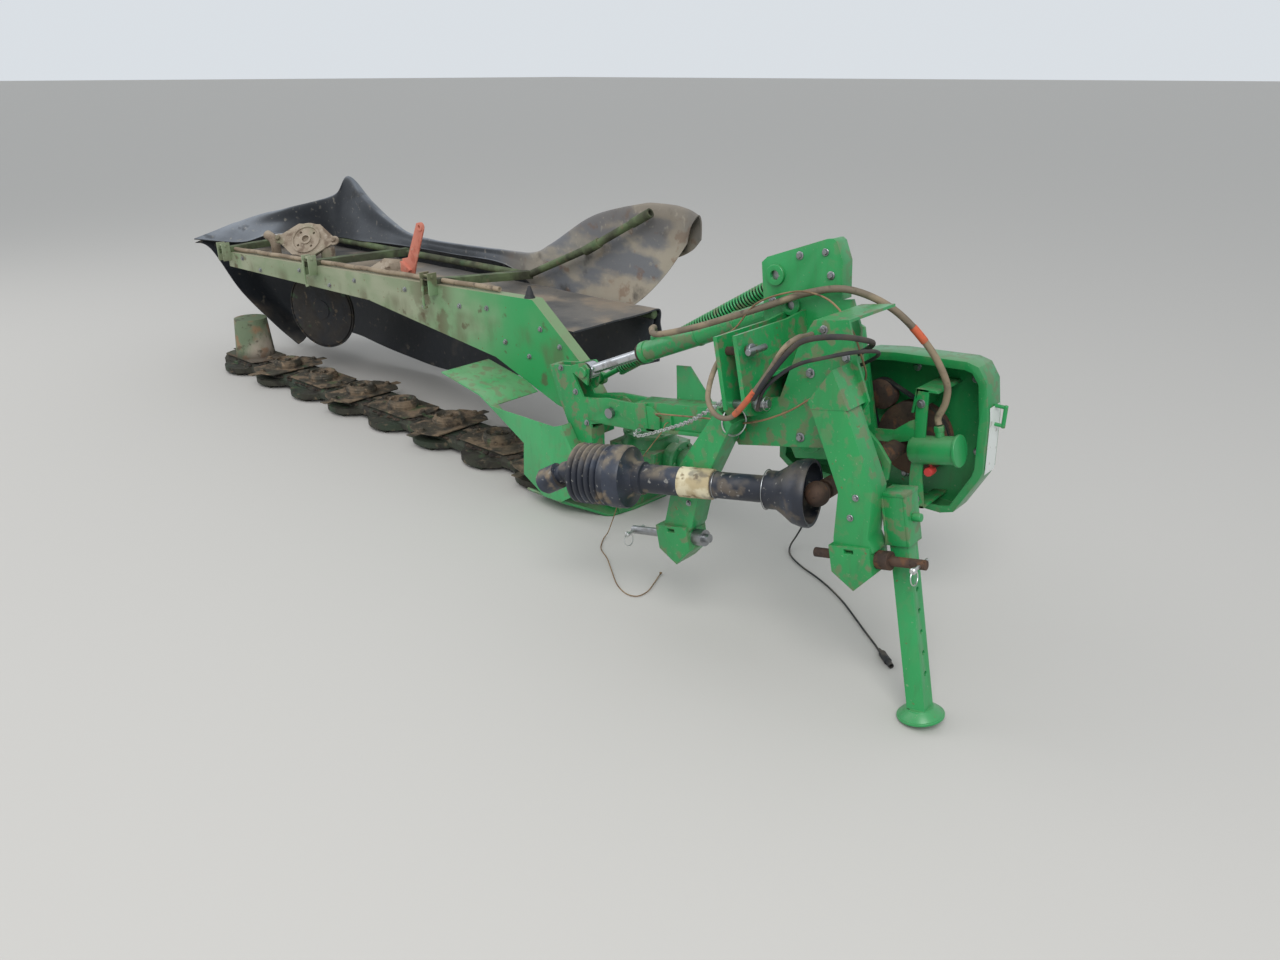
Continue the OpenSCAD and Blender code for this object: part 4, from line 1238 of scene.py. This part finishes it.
# float spring's coil, and rings on the barrel
t0, t1 = H(SPRING_TOP[0], -94, SPRING_TOP[1]), MM(400, -94, 590)
sv = (t1 - t0).normalized()
cx, cy = axes(sv)[:2]
coil = []
TURNS, STEPS, s0, s1, rad = 62, 16, 0.130, 1.000, 0.0255
for i in range(TURNS * STEPS + 1):
    a = 2 * math.pi * i / STEPS
    at = s0 + 0.004 + (s1 - s0 - 0.008) * i / (TURNS * STEPS)
    coil.append(t0 + sv * at + (cx * math.cos(a) + cy * math.sin(a)) * rad)
core = Heap()
core.turn(t0, sv, [(0.0195, s0 + 0.001), (0.0195, s1 - 0.001)], 24)
core = core.done("spring_core", "spring", "black_steel")
spring = tube("spring_coil", coil, 0.0075, GREEN, "spring", PAINT, 2)
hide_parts("float_spring")
ct, ce = H(CYLINDER_TOP[0], ARM_Y, CYLINDER_TOP[1]), MM(426, ARM_Y, 651)
cv = (ce - ct).normalized()
band = Heap()
for s0, s1, r in ((0.744, 0.772, 0.042), (0.300, 0.312, 0.0405), (0.480, 0.492, 0.0405)):
    band.turn(ct, cv, [(r - 0.003, s0), (r, s0 + 0.002), (r, s1 - 0.002), (r - 0.003, s1)], 40)
band.lathe(ct + cv * 0.715 + UP * 0.030, UP, [(15, 0), (15, 20), (12, 22), (12, 30), (1, 31)], 24)
band.done("barrel_bands", "cylinder", PAINT)
gland = Heap()
gland.lathe(ct, cv, [(30, 768), (38.5, 770), (38.5, 784), (26, 788)], 40)
gland.done("barrel_gland", "cylinder", "rusty_iron")

# cutterbar tops and disc hubs
tops = Form()
for i in range(DISCS):
    x = -DISC_STEP * i
    tops.rod((x, 0, 78), (x, 0, 82), 172, 40)
    if i < DISCS - 1:
        tops.box(x - 198, x - 192, -88, 120, 78, 83)
        for y in (-58, 100):
            tops.rod((x - 173, y, 78), (x - 173, y, 84), 20, 6)
tops.made("bar_tops", "bar", "grimy_steel", bevel=0)
for i in range(DISCS):
    n, x = DISCS - i, -DISC_STEP * i
    cap = Form()
    if n > 1:
        cap.lathe(MM(x, 0, 0), UP, [(84, 107.5), (82, 114), (72, 128), (72, 134), (62, 136), (56, 124), (34, 116),
            (34, 124), (1, 126)], 48)
        cap.rod((x, 0, 112), (x, 0, 138), 44, 6)
        for bx, by in circle(6, 44):
            cap.rod((x + bx, by, 110), (x + bx, by, 127), 13, 6)
    for bx, by in circle(2, 172, 0 if n % 2 else 90):
        bx += x
        cap.rod((bx, by, 93), (bx, by, 97), 40)
        cap.rod((bx, by, 97), (bx, by, 108), 28, 6)
    cap.made("hub_cap_%d" % n, "disc%d" % n, "worn_steel", bevel=0)

# ---- tape and rings on the drive shaft ----
band = Heap()
band.lathe(J, SV, [(46.2, 326), (47.8, 328), (47.4, 345), (48.2, 360), (47.5, 380), (48.4, 402), (47.6, 418),
    (48.1, 434), (46.2, 436)], 40)
band.done("shaft_tape", "shaft_end", "black_plastic", speckled("tape_cream", (206, 196, 166), 0.75, [
    ((16.0, 0.42, 0.58, 0.8), (164, 146, 110), 0.85), ((34.0, 0.56, 0.66, 0.8), (116, 98, 70), 0.85),
    ((9.0, 0.6, 0.68, 0.6), (60, 62, 66), 0.7)], ((60.0, 0.3, 0.7), 0.5, 0.001)))
rings = Heap()
for s, r in ((0.152, 0.0600), (0.318, 0.0424)):
    rings.ring(J + SV * s, SV, r, 0.003, 40, 8)
rings.done("shaft_rings", "shaft", "bare_steel")

# ---- bolts, linch pins, fittings ----
bolts("head_bolts", "headstock", [
    (-118, -566, 330, 20), (120, -566, 330, 20), (240, -566, 420, 20), (180, -566, 520, 20), (240, -566, 640, 18),
    (300, -566, 560, 18), (-100, -300, 700, 20), (-80, -300, 240, 20), (120, -300, 760, 18), (-110, -300, 420, 20),
    (20, -300, 830, 18), (110, -300, 830, 16), (316, -664, 130, 14), (340, -664, 190, 14), (-264, -664, 130, 14),
    (-224, -664, 220, 14)], H)
xl, zl = (H(1, 0, 0) - H(0, 0, 0)).normalized(), (H(0, 0, 1) - H(0, 0, 0)).normalized()
pins = Heap()
for lx in (498, -550):
    at = H(lx, PIN_Y, 0)
    pins.lathe(at + FRONT * 0.040, -FRONT, [(1, 0), (5.2, 2), (5.2, 78), (2, 81)], 16)
    pins.lathe(at + FRONT * 0.046, FRONT, [(8, -6), (9.5, 0), (9.5, 6), (6, 9)], 16)
    pins.ring(at + FRONT * 0.046 - zl * 0.020, xl, 0.021, 0.0034, 32, 8)
top_at = H(-61, PIN_Y, 446)
pins.ring(top_at - zl * 0.055 - xl * 0.004, (xl + FRONT * 0.4).normalized(), 0.042, 0.006, 40, 8)
pins.ring(H(64, PIN_Y, 446) - xl * 0.002, xl, 0.020, 0.003, 24, 6)
pins.done("linch_pins", "headstock", "bare_steel", bare("zinc_bright", (200, 202, 200), 0.3))
bolts("beam_bolts", "bar", [(x, 0, z, 18) for x, z in (
    (-2700, 700), (-2500, 655), (-2050, 710), (-1750, 665), (-1500, 725), (-1050, 740), (-900, 680), (-620, 720),
    (-420, 740), (-300, 600), (-60, 700), (60, 640), (120, 500), (-140, 560), (200, 420))])
bolts("upright_bolts", "bar", [(x, -228, z, 18) for x, z in (
    (300, 645), (380, 560), (440, 440), (370, 320), (450, 320), (370, 220), (450, 200), (560, 545), (608, 500))])

ROLL_CLOTH = hose("roll_cloth", (150, 134, 112), (118, 102, 84))
for i, (x0, x1) in enumerate(((-2838, -1927), (-1853, -852), (-778, -361))):
    pts = []
    for k in range(41):
        x = x0 + (x1 - x0) * k / 40
        pts.append(MM(x, 34 + 1.2 * math.sin(x / 61), beam_z(x) + 17 + 1.2 * math.sin(x / 47)))
    tube("edge_roll_%d" % i, pts, 0.025, ROLL_CLOTH, "bar", "curtain_cloth", 5)

# ---- caked grass and mud on the cutterbar ----
random.seed(4)
lumps = Heap()
PHI = (1 + 5 ** 0.5) / 2
ICO_V = [Vector(v).normalized() for v in ((-1, PHI, 0), (1, PHI, 0), (-1, -PHI, 0), (1, -PHI, 0), (0, -1, PHI),
    (0, 1, PHI), (0, -1, -PHI), (0, 1, -PHI), (PHI, 0, -1), (PHI, 0, 1), (-PHI, 0, -1), (-PHI, 0, 1))]
ICO_F = [(0, 11, 5), (0, 5, 1), (0, 1, 7), (0, 7, 10), (0, 10, 11), (1, 5, 9), (5, 11, 4), (11, 10, 2), (10, 7, 6),
    (7, 1, 8), (3, 9, 4), (3, 4, 2), (3, 2, 6), (3, 6, 8), (3, 8, 9), (4, 9, 5), (2, 4, 11), (6, 2, 10), (8, 6, 7),
    (9, 8, 1)]
BALL_V, BALL_F, MIDDLES = list(ICO_V), [], {}


def half(a, b):
    k = (min(a, b), max(a, b))
    if k not in MIDDLES:
        MIDDLES[k] = len(BALL_V)
        BALL_V.append(((BALL_V[a] + BALL_V[b]) / 2).normalized())
    return MIDDLES[k]


for a, b, c in ICO_F:
    ab, bc, ca = half(a, b), half(b, c), half(c, a)
    BALL_F += [(a, ab, ca), (b, bc, ab), (c, ca, bc), (ab, bc, ca)]
for i in range(520):
    x = random.uniform(-2780, 180)
    near = min(abs(x + DISC_STEP * k) for k in range(DISCS))
    y = random.uniform(-112, 142) if near > 120 else random.choice((-1, 1)) * random.uniform(96, 112)
    z = 79 if abs(y) < 96 else 66
    at = MM(x, y, z)
    sx, sy, sz = random.uniform(8, 30) / 1000, random.uniform(7, 22) / 1000, random.uniform(3, 9) / 1000
    spin = random.uniform(0, math.pi)
    v = []
    for q in BALL_V:
        r = 1 + 0.45 * noise.noise(q * 2.1 + Vector((i * 3.7, 0, 0)))
        px, py = q.x * sx * r, q.y * sy * r
        v.append(at + Vector((px * math.cos(spin) - py * math.sin(spin), px * math.sin(spin) + py * math.cos(spin),
            q.z * sz * r)))
    lumps.add(v, BALL_F)
lumps.done("caked_mud", "bar", "grimy_steel", speckled("mud_caked", (46, 39, 33), 0.95, [
    ((20.0, 0.42, 0.6, 0.8), (78, 66, 54), 0.95), ((50.0, 0.55, 0.68, 0.6), (26, 22, 20), 0.95)],
    ((120.0, 0.3, 0.75), 0.8, 0.004)), autosmooth=None)

# ---- blank panel on the belt guard's right side ----
panel = Heap()
pv = [MM(x, y, z) for x, z in ((2001.0, 580), (2001.4, 600), (1993.5, 760), (1987.4, 800)) for y in (-30, 44)]
pv += [p + Vector((0.0015, 0, 0.0001)) for p in pv]
pf = []
for i in range(3):
    a = i * 2
    pf += [(a, a + 1, a + 3, a + 2), (8 + a, 10 + a, 11 + a, 9 + a), (a, a + 2, a + 10, a + 8),
        (a + 1, a + 9, a + 11, a + 3)]
pf += [(0, 8, 9, 1), (6, 7, 15, 14)]
panel.add(pv, pf)
panel.done("guard_panel", "headstock", PAINT, speckled("panel_white", (214, 218, 214), 0.45, [
    ((5.0, 0.5, 0.66, 0.4), (176, 182, 172), 0.6), ((30.0, 0.62, 0.70, 0.5), (132, 122, 104), 0.8)],
    ((60.0, 0.3, 0.7), 0.06, 0.0008)))
